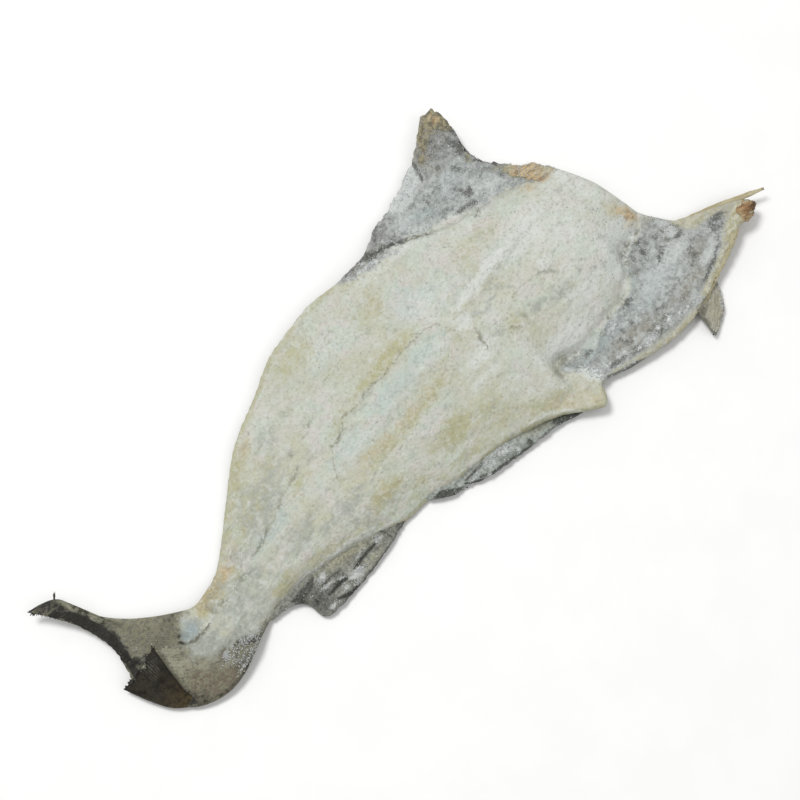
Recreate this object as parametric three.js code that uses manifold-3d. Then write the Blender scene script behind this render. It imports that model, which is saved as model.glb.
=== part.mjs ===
// Whole salted dried cod: headless, split open along the belly, backbone cut out to the vent, pressed
// flat and dried, lying on its skin with the cut flesh up. Millimetres. +X runs along the back from the
// tail to the neck cut, +Y to the left of that and +Z up. The skin rests on z = 0, and the origin is the
// middle of the bounding box's foot. Left and right are as seen from above, looking from tail to neck.
import * as THREE from "three";
import { mergeVertices } from "three/addons/utils/BufferGeometryUtils.js";
import Module from "manifold-3d";

// ---- Driving sizes ------------------------------------------------------------------------------------
const TAIL_END = -262; // x where the split slab dies away inside the tail stalk
const NECK_END = 291; // x of the cut neck on the back line
const BACK_LINE_Y = 8; // y of the line that the spine lay on
const FLAP_THICK = 5; // belly flap with its lining
const LEAST_FLESH = 6; // flesh is nowhere thinner than this
const FIN_THICK = 2.4; // dried fin membrane at its free edge
const RIM = { radius: 5, endLean: 0.55, above: 0.55 }; // of the slab, with its share above the middle

// Edges of the slab: [foot on the back line, x, y]. A rib leaves the back line square and sweeps to its
// edge point.
const LEFT_EDGE = [
  [-262, -262, 46],
  [-225, -225, 53],
  [-200, -200, 67],
  [-165, -165, 90],
  [-120, -120, 117],
  [-80, -80, 130],
  [-28, -28, 146],
  [20, 20, 148],
  [58, 58, 141],
  [92, 92, 139],
  [120, 123, 149],
  [152, 158, 154],
  [178, 192, 162],
  [194, 213, 172],
  [206, 237, 183],
  [214, 252, 179],
  [224, 251, 158],
  [233, 241, 135],
  [241, 237, 120],
  [254, 254, 92],
  [272, 274, 72],
  [291, 276, 54],
];
const RIGHT_EDGE = [
  [-262, -262, -17],
  [-230, -230, -11],
  [-195, -195, -12],
  [-150, -150, -22],
  [-100, -100, -41],
  [-72, -72, -52],
  [-48, -48, -55],
  [-20, -20, -65],
  [30, 30, -76],
  [85, 87, -101],
  [106, 110, -121],
  [114, 121, -129],
  [121, 129, -124],
  [128, 136, -113],
  [160, 170, -126],
  [195, 235, -142],
  [212, 275, -138],
  [222, 305, -130],
  [231, 337, -123],
  [237, 358, -124],
  [241, 367, -116],
  [247, 350, -99],
  [256, 326, -83],
  [266, 309, -70],
  [279, 299, -50],
  [291, 292, -38],
];
const RIB_SWEEP = { body: 4, neck: 1.7, from: 266, over: 25 }; // powers by which ribs sweep to the edge

// Folds where the flesh ends and the lining of the belly flaps begins: [x, y].
const LEFT_FOLD = [
  [50, 152],
  [78, 141],
  [100, 137],
  [122, 126],
  [150, 106],
  [200, 84],
  [240, 72],
  [291, 58],
];
const RIGHT_FOLD = [
  [112, -96],
  [126, -66],
  [160, -77],
  [205, -76],
  [235, -66],
  [252, -48],
  [291, -44],
];
const FOLD_WIDTH = 12; // distance over which flesh drops to flap
const CORNER_FOLD = { x: 128, y: -85, slope: -0.42, width: 10 }; // front of the sharp flesh corner

// Relief of the flesh: thickness on the back line along x, and how much of it is lost towards the edge.
const LOIN_THICK = [
  [-262, 10],
  [-225, 16],
  [-190, 18],
  [-120, 22],
  [0, 27],
  [120, 31],
  [230, 29],
  [291, 19],
];
const EDGE_LOSS = { share: 0.66, power: 2.6 };
const SPINE_BED = { y: 24, width: 13, depth: 3.2, from: 95, over: 60 }; // of the spine that was cut out
const BONY_RIDGE = { y: 32, width: 14, height: 2.4, from: -240, to: 105, over: 60 }; // spine left in
const FLESH_SWELLS = [
  [1.1, 31, 47],
  [0.8, -67, 19],
]; // [height, x per radian, y per radian]
const FLAP_RUFFLES = [
  [0.7, 9, 17],
  [0.5, -23, 8],
];

// How the skin leaves the floor: both flanks, the tips of the flaps and the stalk.
const FLANKS = { height: 9, from: 62, over: 95 }; // across, counted from the back line
const LEFT_TIP = { height: 9, from: 120, over: 70 }; // across, where LEFT_TIP_SHARE lets it
const LEFT_TIP_SHARE = { height: 1, from: 170, over: 70 };
const RIGHT_TIP = { height: 9, from: 270, over: 90 };
const STALK_RISE = { height: 3.5, from: 215, over: 45 }; // counted towards the tail
const EDGE_WAVE = { height: 2, run: 37, over: 50, rightShare: 0.5 };

// Tail: the stalk and the fan that lies on its side, as four sides [x, y], from the stalk to the fork.
const TAIL = {
  lower: [
    [-214, -8],
    [-226, -13],
    [-240, -16],
    [-256, -21],
    [-274, -25],
    [-292, -25],
    [-310, -19],
    [-324, -9],
    [-332, 4],
  ],
  upper: [
    [-220, 43],
    [-236, 49],
    [-257, 49],
    [-272, 59],
    [-288, 73],
    [-302, 88],
    [-315, 107],
    [-323, 126],
    [-328, 147],
    [-340, 155],
    [-354, 160],
  ],
  fork: [
    [-332, 4],
    [-335, 30],
    [-336, 52],
    [-333, 70],
    [-329, 86],
    [-331, 102],
    [-336, 122],
    [-344, 140],
    [-354, 160],
  ],
  rootThick: 11, // inside the slab
  stalkThick: 18,
  stalkFrom: 0.3, // share of the way to the fork where the stalk is full
  stalkHeight: 9.5, // of its middle
  fanHeight: 5.5,
  fanFrom: 0.85, // share of the way to the fork where the stalk has thinned to the fan
  fanRootThick: 3.8,
  bellyLift: 4, // of the stalk's lower side
  sideSpan: 60, // mean width, which turns a share of it into a distance from the rim
  tipCurl: { height: 7, from: 90, over: 75 }, // along y
  forkCurl: { height: 5, from: 318, over: 20 }, // counted towards the fork
  forkCurlShare: { height: 1, from: 60, over: 30 }, // along y
};

// Lower tail lobe, curled up and back over the fan, from its foot to its tip.
const LOBE = {
  outer: [
    [-315, -12],
    [-327, -5],
    [-337, 6],
    [-345, 25],
    [-351, 49],
  ],
  free: [
    [-309, -3],
    [-316, 6],
    [-314, 17],
    [-311, 31],
    [-307, 50],
  ],
  footHeight: 6.8,
  footThick: 3,
  outerHeight: 8,
  freeHeight: 25,
  riseBy: 0.7, // share of its length over which it rises
  sideSpan: 40,
};

// Fins on the right edge: inner side under the flesh, outer side free, both away from the tail.
const REAR_ANAL_FIN = {
  inner: [[-226, -6], [-160, -12], [-130, -19], [-98, -33], [-68, -42]],
  outer: [[-222, -14], [-203, -19], [-192, -29], [-188, -50], [-155, -55], [-105, -53], [-68, -50]],
  innerHeight: 5,
  outerHeight: 3,
};
const FRONT_ANAL_FIN = {
  inner: [[-52, -48], [0, -57], [40, -69], [75, -85], [106, -106]],
  outer: [[-48, -57], [-30, -70], [-4, -81], [30, -93], [70, -103], [106, -117]],
  innerHeight: 5,
  outerHeight: 3,
};
const PECTORAL_FIN = {
  inner: [[240, -157], [247, -147], [259, -137], [288, -127]],
  outer: [[242, -166], [256, -163], [270, -155], [283, -143], [292, -131]],
  innerHeight: 10,
  outerHeight: 5,
};
const FIN = { rootThick: 6, edgeThick: 3.4, sideSpan: 40, waveHeight: 0.8, waves: 3 };

// Collar bone: a bare spike past the right flap, a bead along the flap's edge and a dried knuckle between.
const SPIKE = { from: [297, -66, 5], to: [386, -120, 15], rootRadius: 4.6, tipRadius: 1.4 };
const EDGE_BEAD = {
  path: [[146, -116], [190, -134], [240, -141], [290, -133], [335, -121], [361, -118]],
  radius: 3.2,
};
const KNUCKLE = { at: [357, -117, 17], radii: [12, 9, 5] };

// Fineness of the facets.
const CORNER_SPAN = [85, 140]; // stretch of the back line with close ribs, facing the sharp flesh corner
const SLAB_CELLS = { tail: 24, corner: 9, head: 20, across: 20 };
const TAIL_CELLS = [12, 16];
const LOBE_CELLS = [6, 8];
const FIN_CELLS = [4, 12];
const BONE_SIDES = 8;
const BONE_STEPS = 22;

// ---- Small mathematics --------------------------------------------------------------------------------
const clamp01 = (t) => Math.min(1, Math.max(0, t));
const smooth = (t) => clamp01(t) ** 2 * (3 - 2 * clamp01(t));
const mix = (a, b, t) => a + (b - a) * t;
const rise = ({ height, from, over }, at) => height * smooth((at - from) / over);

function ripple(waves, x, y) {
  return waves.reduce((sum, [height, runX, runY]) => sum + height * Math.sin(x / runX + y / runY), 0);
}

// A smooth function through knots [x, value ...]: cubic between knots, with slopes that don't overshoot.
function through(knots) {
  const last = knots.length - 1;
  const steepness = (i, k) => (knots[i + 1][k] - knots[i][k]) / (knots[i + 1][0] - knots[i][0]);
  const slopeAt = (i, k) => {
    const before = steepness(Math.max(i - 1, 0), k);
    const after = steepness(Math.min(i, last - 1), k);
    return before * after <= 0 ? 0 : (2 * before * after) / (before + after);
  };
  return (x) => {
    const at = Math.min(knots[last][0], Math.max(knots[0][0], x));
    const i = Math.min(last - 1, knots.findLastIndex((knot) => knot[0] <= at));
    const span = knots[i + 1][0] - knots[i][0];
    const t = (at - knots[i][0]) / span;
    const blend = (k) =>
      knots[i][k] * (1 + 2 * t) * (1 - t) ** 2 +
      slopeAt(i, k) * span * t * (1 - t) ** 2 +
      knots[i + 1][k] * t ** 2 * (3 - 2 * t) +
      slopeAt(i + 1, k) * span * t ** 2 * (t - 1);
    return knots[i].slice(1).map((_, column) => blend(column + 1));
  };
}

// A smooth plan curve through points [x, y], as a function of the share of its length.
function along(points) {
  const vectors = points.map(([x, y]) => new THREE.Vector3(x, y, 0));
  const curve = new THREE.CatmullRomCurve3(vectors, false, "centripetal");
  return (t) => curve.getPointAt(clamp01(t));
}

// A point inside four sides: rails and ends blended, less the corners, which both of them count.
function between({ low, high, start, end }, s, t) {
  const rails = low(t).lerp(high(t), s);
  const ends = start(s).lerp(end(s), t);
  const corners = low(0).lerp(high(0), s).lerp(low(1).lerp(high(1), s), t);
  return rails.add(ends).sub(corners);
}

// ---- Leaves: closed sheets with a rounded rim ---------------------------------------------------------
const even = (from, to, count) => Array.from({ length: count + 1 }, (_, i) => mix(from, to, i / count));

// Steps along one direction: even in the middle, with close ones inside each rounded end.
function steps(from, to, count, round) {
  return [from, from + 0.28 * round, ...even(from + round, to - round, count), to - 0.28 * round, to];
}

// The share of its full thickness that a leaf keeps at a distance from its rim.
const rimShare = (distance, radius) => Math.sqrt(1 - (1 - clamp01(distance / radius)) ** 2);
const toNearestSide = (s, t) => Math.min(s, 1 - s, t, 1 - t);

// A leaf's point at a height, with half its thickness to both sides.
const leafPoint = ({ x, y }, middle, half) => ({ x, y, middle, top: middle + half, bottom: middle - half });

// A closed leaf: top and bottom sheets over one grid, which meet along its outline. Seen from above, the
// direction of v lies a quarter turn left of the direction of u.
function leafGeometry(us, vs, place) {
  const positions = [];
  const index = [];
  const row = vs.length;
  const sheet = us.length * row;
  for (const side of ["top", "bottom"])
    us.forEach((u, i) =>
      vs.forEach((v, j) => {
        const p = place(u, v);
        const rim = i === 0 || j === 0 || i === us.length - 1 || j === row - 1;
        positions.push(p.x, p.y, rim ? p.middle : p[side]);
      }),
    );
  for (let i = 0; i < us.length - 1; i++)
    for (let j = 0; j < row - 1; j++) {
      const [a, b, c, d] = [i * row + j, (i + 1) * row + j, (i + 1) * row + j + 1, i * row + j + 1];
      index.push(a, b, c, a, c, d);
      index.push(sheet + a, sheet + c, sheet + b, sheet + a, sheet + d, sheet + c);
    }
  const geometry = new THREE.BufferGeometry();
  geometry.setAttribute("position", new THREE.Float32BufferAttribute(positions, 3));
  geometry.setIndex(index);
  return geometry;
}

// ---- The split slab of flesh with its two belly flaps -------------------------------------------------
const leftEdge = through(LEFT_EDGE);
const rightEdge = through(RIGHT_EDGE);
const leftFold = through(LEFT_FOLD);
const rightFold = through(RIGHT_FOLD);
const loinThick = through(LOIN_THICK);

// How much of a plan point is flesh: 1 on the slab, 0 on the belly flaps.
function fleshShare(x, y) {
  const left = x > LEFT_FOLD[0][0] ? smooth(0.5 + (leftFold(x)[0] - y) / FOLD_WIDTH) : 1;
  const cornerX = CORNER_FOLD.x + CORNER_FOLD.slope * (y - CORNER_FOLD.y);
  const pastCorner = smooth((x - cornerX) / CORNER_FOLD.width);
  return left * (1 - pastCorner * smooth(0.5 + (rightFold(x)[0] - y) / FOLD_WIDTH));
}

// Share of the way from the back line to the outer side of the flesh.
function fleshReach(x, y) {
  const edge = y > BACK_LINE_Y ? leftEdge(x)[1] : rightEdge(x)[1];
  const fold = y > BACK_LINE_Y ? leftFold(x)[0] : rightFold(x)[0];
  const besideFlap = x > LEFT_FOLD[1][0] && Math.abs(fold) < Math.abs(edge);
  return clamp01(Math.abs((y - BACK_LINE_Y) / ((besideFlap ? fold : edge) - BACK_LINE_Y)));
}

function fleshThickness(x, y) {
  const loin = loinThick(x)[0] * (1 - EDGE_LOSS.share * fleshReach(x, y) ** EDGE_LOSS.power);
  const inBed = Math.exp(-(((y - SPINE_BED.y) / SPINE_BED.width) ** 2));
  const bed = SPINE_BED.depth * inBed * smooth((x - SPINE_BED.from) / SPINE_BED.over);
  const onRidge = Math.exp(-(((y - BONY_RIDGE.y) / BONY_RIDGE.width) ** 4));
  const ridgeTail = smooth((x - BONY_RIDGE.from) / BONY_RIDGE.over);
  const ridgeHead = smooth((BONY_RIDGE.to - x) / BONY_RIDGE.over);
  const ridge = BONY_RIDGE.height * onRidge * ridgeTail * ridgeHead;
  return Math.max(LEAST_FLESH, loin - bed + ridge + ripple(FLESH_SWELLS, x, y));
}

function thickness(x, y) {
  return mix(FLAP_THICK + ripple(FLAP_RUFFLES, x, y), fleshThickness(x, y), fleshShare(x, y));
}

// Height of the skin above the floor.
function skinHeight(x, y) {
  const across = Math.abs(y - BACK_LINE_Y);
  const leftTip = rise(LEFT_TIP, y) * rise(LEFT_TIP_SHARE, x);
  const waveShare = smooth((across - FLANKS.from) / EDGE_WAVE.over) * (y > 0 ? 1 : EDGE_WAVE.rightShare);
  const wave = EDGE_WAVE.height * Math.sin(x / EDGE_WAVE.run) * waveShare;
  return rise(FLANKS, across) + leftTip + rise(RIGHT_TIP, x) + rise(STALK_RISE, -x) + wave;
}

function slabPoint(foot, v) {
  const [edgeX, edgeY] = v > 0 ? leftEdge(foot) : rightEdge(foot);
  const share = Math.abs(v);
  const sweep = mix(RIB_SWEEP.body, RIB_SWEEP.neck, smooth((foot - RIB_SWEEP.from) / RIB_SWEEP.over));
  const x = foot + (edgeX - foot) * share ** sweep;
  const y = mix(BACK_LINE_Y, edgeY, share);
  const toEdge = (1 - share) * Math.hypot(edgeX - foot, edgeY - BACK_LINE_Y);
  const toEnd = RIM.endLean * Math.min(foot - TAIL_END, NECK_END - foot);
  const thick = thickness(x, y);
  const kept = thick * rimShare(Math.min(toEdge, toEnd), RIM.radius);
  const middle = skinHeight(x, y) + (1 - RIM.above) * thick;
  return { x, y, middle, top: middle + RIM.above * kept, bottom: middle - (1 - RIM.above) * kept };
}

function slabGeometry() {
  const endRound = 6;
  const edgeRound = 0.04;
  const feet = [
    ...steps(TAIL_END, CORNER_SPAN[0], SLAB_CELLS.tail, endRound).slice(0, -3),
    ...even(...CORNER_SPAN, SLAB_CELLS.corner),
    ...steps(CORNER_SPAN[1], NECK_END, SLAB_CELLS.head, endRound).slice(3),
  ];
  return leafGeometry(feet, steps(-1, 1, SLAB_CELLS.across, edgeRound), slabPoint);
}

// ---- Tail ---------------------------------------------------------------------------------------------
function tailGeometry() {
  const sides = {
    low: along(TAIL.lower),
    high: along(TAIL.upper),
    start: along([TAIL.lower[0], TAIL.upper[0]]),
    end: along(TAIL.fork),
  };
  const place = (s, t) => {
    const p = between(sides, s, t);
    const fan = smooth(t / TAIL.fanFrom);
    const section = Math.sin(Math.PI * (0.05 + 0.9 * s)) ** 0.6;
    const stalk = section * mix(TAIL.rootThick, TAIL.stalkThick, smooth(t / TAIL.stalkFrom));
    const thick = mix(stalk, mix(TAIL.fanRootThick, FIN_THICK, t), fan);
    const kept = thick * rimShare(TAIL.sideSpan * toNearestSide(s, t), mix(6, 2.5, fan));
    const belly = TAIL.bellyLift * smooth(2 * t) * (1 - s) * (1 - t);
    const curl = rise(TAIL.tipCurl, p.y) + rise(TAIL.forkCurl, -p.x) * rise(TAIL.forkCurlShare, p.y);
    return leafPoint(p, mix(TAIL.stalkHeight, TAIL.fanHeight, fan) + belly + curl, kept / 2);
  };
  return leafGeometry(steps(0, 1, TAIL_CELLS[0], 0.06), steps(0, 1, TAIL_CELLS[1], 0.06), place);
}

function lobeGeometry() {
  const outer = along(LOBE.outer);
  const free = along(LOBE.free);
  const place = (s, t) => {
    const up = smooth(t / LOBE.riseBy);
    const arch = mix(LOBE.outerHeight, LOBE.freeHeight, Math.sin((Math.PI / 2) * s));
    const thick = mix(LOBE.footThick, FIN_THICK, up);
    const kept = thick * rimShare(LOBE.sideSpan * toNearestSide(s, t), thick);
    return leafPoint(outer(t).lerp(free(t), s), mix(LOBE.footHeight, arch, up), kept / 2);
  };
  return leafGeometry(steps(0, 1, LOBE_CELLS[0], 0.08), steps(0, 1, LOBE_CELLS[1], 0.08), place);
}

// ---- Fins and bones -----------------------------------------------------------------------------------
function finGeometry({ inner, outer, innerHeight, outerHeight }) {
  const inside = along(inner);
  const outside = along(outer);
  const place = (s, t) => {
    const wave = FIN.waveHeight * s * Math.sin(2 * Math.PI * FIN.waves * t);
    const thick = mix(FIN.rootThick, FIN.edgeThick, s);
    const kept = thick * rimShare(FIN.sideSpan * toNearestSide(s, t), FIN.edgeThick);
    const middle = mix(innerHeight, outerHeight, smooth(s)) + wave;
    return leafPoint(inside(t).lerp(outside(t), s), middle, kept / 2);
  };
  return leafGeometry(steps(0, 1, FIN_CELLS[0], 0.1), steps(0, 1, FIN_CELLS[1], 0.05), place);
}

function spikeGeometry() {
  const from = new THREE.Vector3(...SPIKE.from);
  const to = new THREE.Vector3(...SPIKE.to);
  const direction = to.clone().sub(from).normalize();
  const turn = new THREE.Quaternion().setFromUnitVectors(new THREE.Vector3(0, 1, 0), direction);
  const bar = new THREE.CylinderGeometry(SPIKE.tipRadius, SPIKE.rootRadius, from.distanceTo(to), BONE_SIDES);
  return bar.applyQuaternion(turn).translate(...from.lerp(to, 0.5).toArray());
}

function beadGeometry() {
  const onFlap = ([x, y]) => new THREE.Vector3(x, y, skinHeight(x, y) + (1 - RIM.above) * FLAP_THICK);
  const path = new THREE.CatmullRomCurve3(EDGE_BEAD.path.map(onFlap), false, "centripetal");
  const circle = new THREE.EllipseCurve(0, 0, EDGE_BEAD.radius, EDGE_BEAD.radius);
  const section = new THREE.Shape(circle.getPoints(BONE_SIDES).slice(0, BONE_SIDES));
  return new THREE.ExtrudeGeometry(section, { steps: BONE_STEPS, extrudePath: path });
}

function knuckleGeometry() {
  return new THREE.SphereGeometry(1, 12, 8).scale(...KNUCKLE.radii).translate(...KNUCKLE.at);
}

// ---- Fusing into one piece ----------------------------------------------------------------------------
const wasm = await Module();
wasm.setup();

function toSolid(geometry) {
  const bare = geometry.clone();
  bare.deleteAttribute("normal");
  bare.deleteAttribute("uv");
  const merged = mergeVertices(bare, 1e-4);
  return new wasm.Manifold(
    new wasm.Mesh({
      numProp: 3,
      vertProperties: merged.attributes.position.array,
      triVerts: new Uint32Array(merged.index.array),
    }),
  );
}

function toGeometry(solid) {
  const mesh = solid.getMesh();
  const geometry = new THREE.BufferGeometry();
  geometry.setAttribute("position", new THREE.BufferAttribute(mesh.vertProperties, 3));
  geometry.setIndex(new THREE.BufferAttribute(mesh.triVerts, 1));
  return geometry;
}

const parts = [
  slabGeometry(),
  tailGeometry(),
  lobeGeometry(),
  ...[REAR_ANAL_FIN, FRONT_ANAL_FIN, PECTORAL_FIN].map(finGeometry),
  spikeGeometry(),
  beadGeometry(),
  knuckleGeometry(),
];
const whole = parts.map(toSolid).reduce((fused, part) => fused.add(part));

// The origin moves to the middle of the box's foot.
const codGeometry = toGeometry(whole);
codGeometry.computeBoundingBox();
const { min, max } = codGeometry.boundingBox;
codGeometry.translate(-(min.x + max.x) / 2, -(min.y + max.y) / 2, -min.z);

const driedFlesh = new THREE.MeshStandardMaterial({ color: 0xc9cabb, roughness: 0.85, metalness: 0 });
const cod = new THREE.Mesh(codGeometry, driedFlesh);
cod.name = "cod";

const group = new THREE.Group();
group.add(cod);

export default group;
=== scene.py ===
"""Whole salted dried cod, split open and pressed flat, lying on its skin with the cut flesh up.

Every size is in millimetres on the fish: +X from the tail to the neck cut, +Y to the left of that as seen
from above, +Z up, with the skin on z = 0. ORIGIN_SHIFT moves the measures to the frame's origin.
"""

import logging
import math
from collections.abc import Callable, Sequence
from dataclasses import dataclass, field
from enum import Enum
from typing import Any

import bpy
import numpy as np
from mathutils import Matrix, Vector


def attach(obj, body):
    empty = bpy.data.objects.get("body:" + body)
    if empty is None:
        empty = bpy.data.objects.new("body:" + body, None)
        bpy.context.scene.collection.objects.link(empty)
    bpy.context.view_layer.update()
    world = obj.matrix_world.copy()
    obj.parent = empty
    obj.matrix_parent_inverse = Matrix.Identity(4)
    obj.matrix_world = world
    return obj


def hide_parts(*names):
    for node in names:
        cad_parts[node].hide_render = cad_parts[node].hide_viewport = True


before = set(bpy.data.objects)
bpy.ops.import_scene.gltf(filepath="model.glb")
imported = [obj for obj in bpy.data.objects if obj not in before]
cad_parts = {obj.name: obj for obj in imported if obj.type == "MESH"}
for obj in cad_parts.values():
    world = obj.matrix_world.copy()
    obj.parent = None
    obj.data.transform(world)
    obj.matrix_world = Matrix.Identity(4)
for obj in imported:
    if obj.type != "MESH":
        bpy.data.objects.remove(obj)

Array = np.ndarray
Points = Sequence[Sequence[float]]
Piece = bpy.types.Object
Socket = bpy.types.NodeSocket
Material = bpy.types.Material
Place = Callable[[Array, Array, Array], Array]

MM = 0.001
ORIGIN_SHIFT = np.array([-16.348, -8.332, 0.0])
CAD_NODE = "cod"
BODY = "root"
CRACK_REACH = 9.0

log = logging.getLogger("cod")


# ---- Small mathematics ---------------------------------------------------------------------------------
def clamp01(t: Array) -> Array:
    """Keeps a share between nought and one."""
    return np.clip(t, 0.0, 1.0)


def smooth(t: Array) -> Array:
    """Eases a share in and out."""
    kept = clamp01(t)
    return kept * kept * (3.0 - 2.0 * kept)


def mix(a: Any, b: Any, t: Array) -> Array:
    """Goes from a to b by the share t."""
    return a + (b - a) * t


@dataclass(frozen=True)
class Rise:
    """A smooth step up, by height, over a stretch."""

    height: float
    start: float
    over: float

    def at(self, distance: Array) -> Array:
        """The height reached at a distance."""
        return self.height * smooth((distance - self.start) / self.over)


@dataclass(frozen=True)
class Wave:
    """A wave over the plane: its height, and how far it goes each way for a radian."""

    height: float
    along: float
    across: float

    def at(self, x: Array, y: Array) -> Array:
        """The wave's height at places."""
        return self.height * np.sin(x / self.along + y / self.across)


class Profile:
    """A smooth function through knots that doesn't overshoot them."""

    def __init__(self, knots: Points) -> None:
        """Takes rows of a place and the values there.

        Args:
            knots: the rows, in the order of their places.
        """
        table = np.asarray(knots, float)
        self.x, self.values = table[:, 0], table[:, 1:]
        steep = np.diff(self.values, axis=0) / np.diff(self.x)[:, None]
        before, after = np.vstack([steep[:1], steep]), np.vstack([steep, steep[-1:]])
        same = before * after > 0
        self.slopes = np.where(same, 2 * before * after / np.where(same, before + after, 1), 0)

    def at(self, x: Array, column: int = 0) -> Array:
        """One of the values at x.

        Args:
            x: places; past the end knots the values stay.
            column: which of the values.

        Returns:
            The value at each place.
        """
        x = np.clip(x, self.x[0], self.x[-1])
        i = np.clip(np.searchsorted(self.x, x, side="right") - 1, 0, len(self.x) - 2)
        span = self.x[i + 1] - self.x[i]
        t = (x - self.x[i]) / span
        value, slope = self.values[:, column], self.slopes[:, column]
        ends = value[i] * (1 + 2 * t) * (1 - t) ** 2 + value[i + 1] * t**2 * (3 - 2 * t)
        return ends + slope[i] * span * t * (1 - t) ** 2 + slope[i + 1] * span * t**2 * (t - 1)


class Path:
    """A smooth curve through points, read by the share of its length."""

    SAMPLES = 24
    STEP = 0.01

    def __init__(self, points: Points) -> None:
        """Samples a centripetal curve through the points.

        Args:
            points: the curve's points, in order.
        """
        p = np.asarray(points, float)
        p = np.vstack([2 * p[0] - p[1], p, 2 * p[-1] - p[-2]])
        t = np.linspace(0, 1, self.SAMPLES, endpoint=False)[:, None]
        rows = []
        for a, b, c, d in zip(p, p[1:], p[2:], p[3:]):
            k = np.cumsum([0.0, *(np.linalg.norm(q - r) ** 0.5 for q, r in ((b, a), (c, b), (d, c)))])
            at = mix(k[1], k[2], t)
            ab = ((k[1] - at) * a + (at - k[0]) * b) / (k[1] - k[0])
            bc = ((k[2] - at) * b + (at - k[1]) * c) / (k[2] - k[1])
            cd = ((k[3] - at) * c + (at - k[2]) * d) / (k[3] - k[2])
            left = ((k[2] - at) * ab + (at - k[0]) * bc) / (k[2] - k[0])
            right = ((k[3] - at) * bc + (at - k[1]) * cd) / (k[3] - k[1])
            rows.append(((k[2] - at) * left + (at - k[1]) * right) / (k[2] - k[1]))
        self.points = np.vstack([*rows, p[-2:-1]])
        steps = np.linalg.norm(np.diff(self.points, axis=0), axis=1)
        self.run = np.concatenate([[0.0], np.cumsum(steps)])
        self.length = float(self.run[-1])

    def at(self, share: Array) -> Array:
        """Points at shares of the length, one row each."""
        run = clamp01(np.asarray(share, float)) * self.length
        return np.stack([np.interp(run, self.run, column) for column in self.points.T], -1)

    def side(self, share: Array) -> Array:
        """Unit vectors to the left of the curve, level with the floor."""
        ahead = self.at(share + self.STEP) - self.at(share - self.STEP)
        return np.stack([-ahead[:, 1], ahead[:, 0]], -1) / np.hypot(ahead[:, 0], ahead[:, 1])[:, None]


class Grain:
    """Seeded smooth noise over the plane, from about -1 to 1."""

    TABLE = 128

    def __init__(self, seed: int) -> None:
        """Draws the directions of the lattice."""
        turn = np.random.default_rng(seed).uniform(0.0, 2.0 * np.pi, (self.TABLE, self.TABLE))
        self.gx, self.gy = np.cos(turn), np.sin(turn)

    def layer(self, x: Array, y: Array) -> Array:
        """One layer with cells a unit wide.

        Args:
            x, y: places, counted in cells.

        Returns:
            The noise at the places.
        """
        ix, iy = np.floor(x).astype(int), np.floor(y).astype(int)
        fx, fy = x - ix, y - iy

        def corner(i: int, j: int) -> Array:
            at = (ix + i) % self.TABLE, (iy + j) % self.TABLE
            return self.gx[at] * (fx - i) + self.gy[at] * (fy - j)

        ease_x, ease_y = (f**3 * (f * (6 * f - 15) + 10) for f in (fx, fy))
        low = mix(corner(0, 0), corner(1, 0), ease_x)
        return 1.5 * mix(low, mix(corner(0, 1), corner(1, 1), ease_x), ease_y)

    def at(self, x: Array, y: Array, cell: float, layers: int = 1) -> Array:
        """Noise whose widest layer has cells of a size, each next layer half as wide and high.

        Args:
            x, y: places along the fish and across it.
            cell: how wide the widest cells are.
            layers: how many layers there are.

        Returns:
            The noise at the places.
        """
        return sum(
            0.5**k * self.layer(x / cell * 2**k + 17.3 * k, y / cell * 2**k - 9.1 * k)
            for k in range(layers)
        )


@dataclass(frozen=True)
class Texture:
    """Smooth noise with a height and with widest cells of a size."""

    height: float
    seed: int
    cell: float
    layers: int = 1

    def at(self, x: Array, y: Array) -> Array:
        """The noise's height at places."""
        return self.height * Grain(self.seed).at(x, y, self.cell, self.layers)


def pebbles(x: Array, y: Array, cell: float, seed: int) -> Array:
    """Low rounded lumps of mixed sizes.

    Args:
        x, y: places along the fish and across it.
        cell: the spacing of the lumps.
        seed: of the lumps' places and sizes.

    Returns:
        Heights from 0 to 1.
    """
    rng = np.random.default_rng(seed)
    size = 64
    dx, dy, wide = rng.uniform(0, 1, (3, size, size))
    ix, iy = np.floor(x / cell).astype(int), np.floor(y / cell).astype(int)
    high = np.zeros_like(x)
    for i in (-1, 0, 1):
        for j in (-1, 0, 1):
            at = (ix + i) % size, (iy + j) % size
            gap = np.hypot(x / cell - ix - i - dx[at], y / cell - iy - j - dy[at])
            radius = 0.3 + 0.55 * wide[at]
            high = np.maximum(high, wide[at] * (1 - (gap / radius) ** 2))
    return high


def to_line(x: Array, y: Array, line: Points) -> tuple[Array, Array]:
    """Distance to a bent line, and the share of it at the nearest place.

    Args:
        x, y: places along the fish and across it.
        line: its corners.

    Returns:
        The distances, and the shares of the line's length.
    """
    corners = np.asarray(line, float)[:, :2]
    legs = np.linalg.norm(np.diff(corners, axis=0), axis=1)
    done = np.concatenate([[0.0], np.cumsum(legs)])
    nearest, share = np.full_like(x, np.inf), np.zeros_like(x)
    for (ax, ay), (bx, by), leg, before in zip(corners, corners[1:], legs, done):
        t = clamp01(((x - ax) * (bx - ax) + (y - ay) * (by - ay)) / leg**2)
        gap = np.hypot(x - ax - t * (bx - ax), y - ay - t * (by - ay))
        share = np.where(gap < nearest, (before + t * leg) / done[-1], share)
        nearest = np.minimum(nearest, gap)
    return nearest, share


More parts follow.
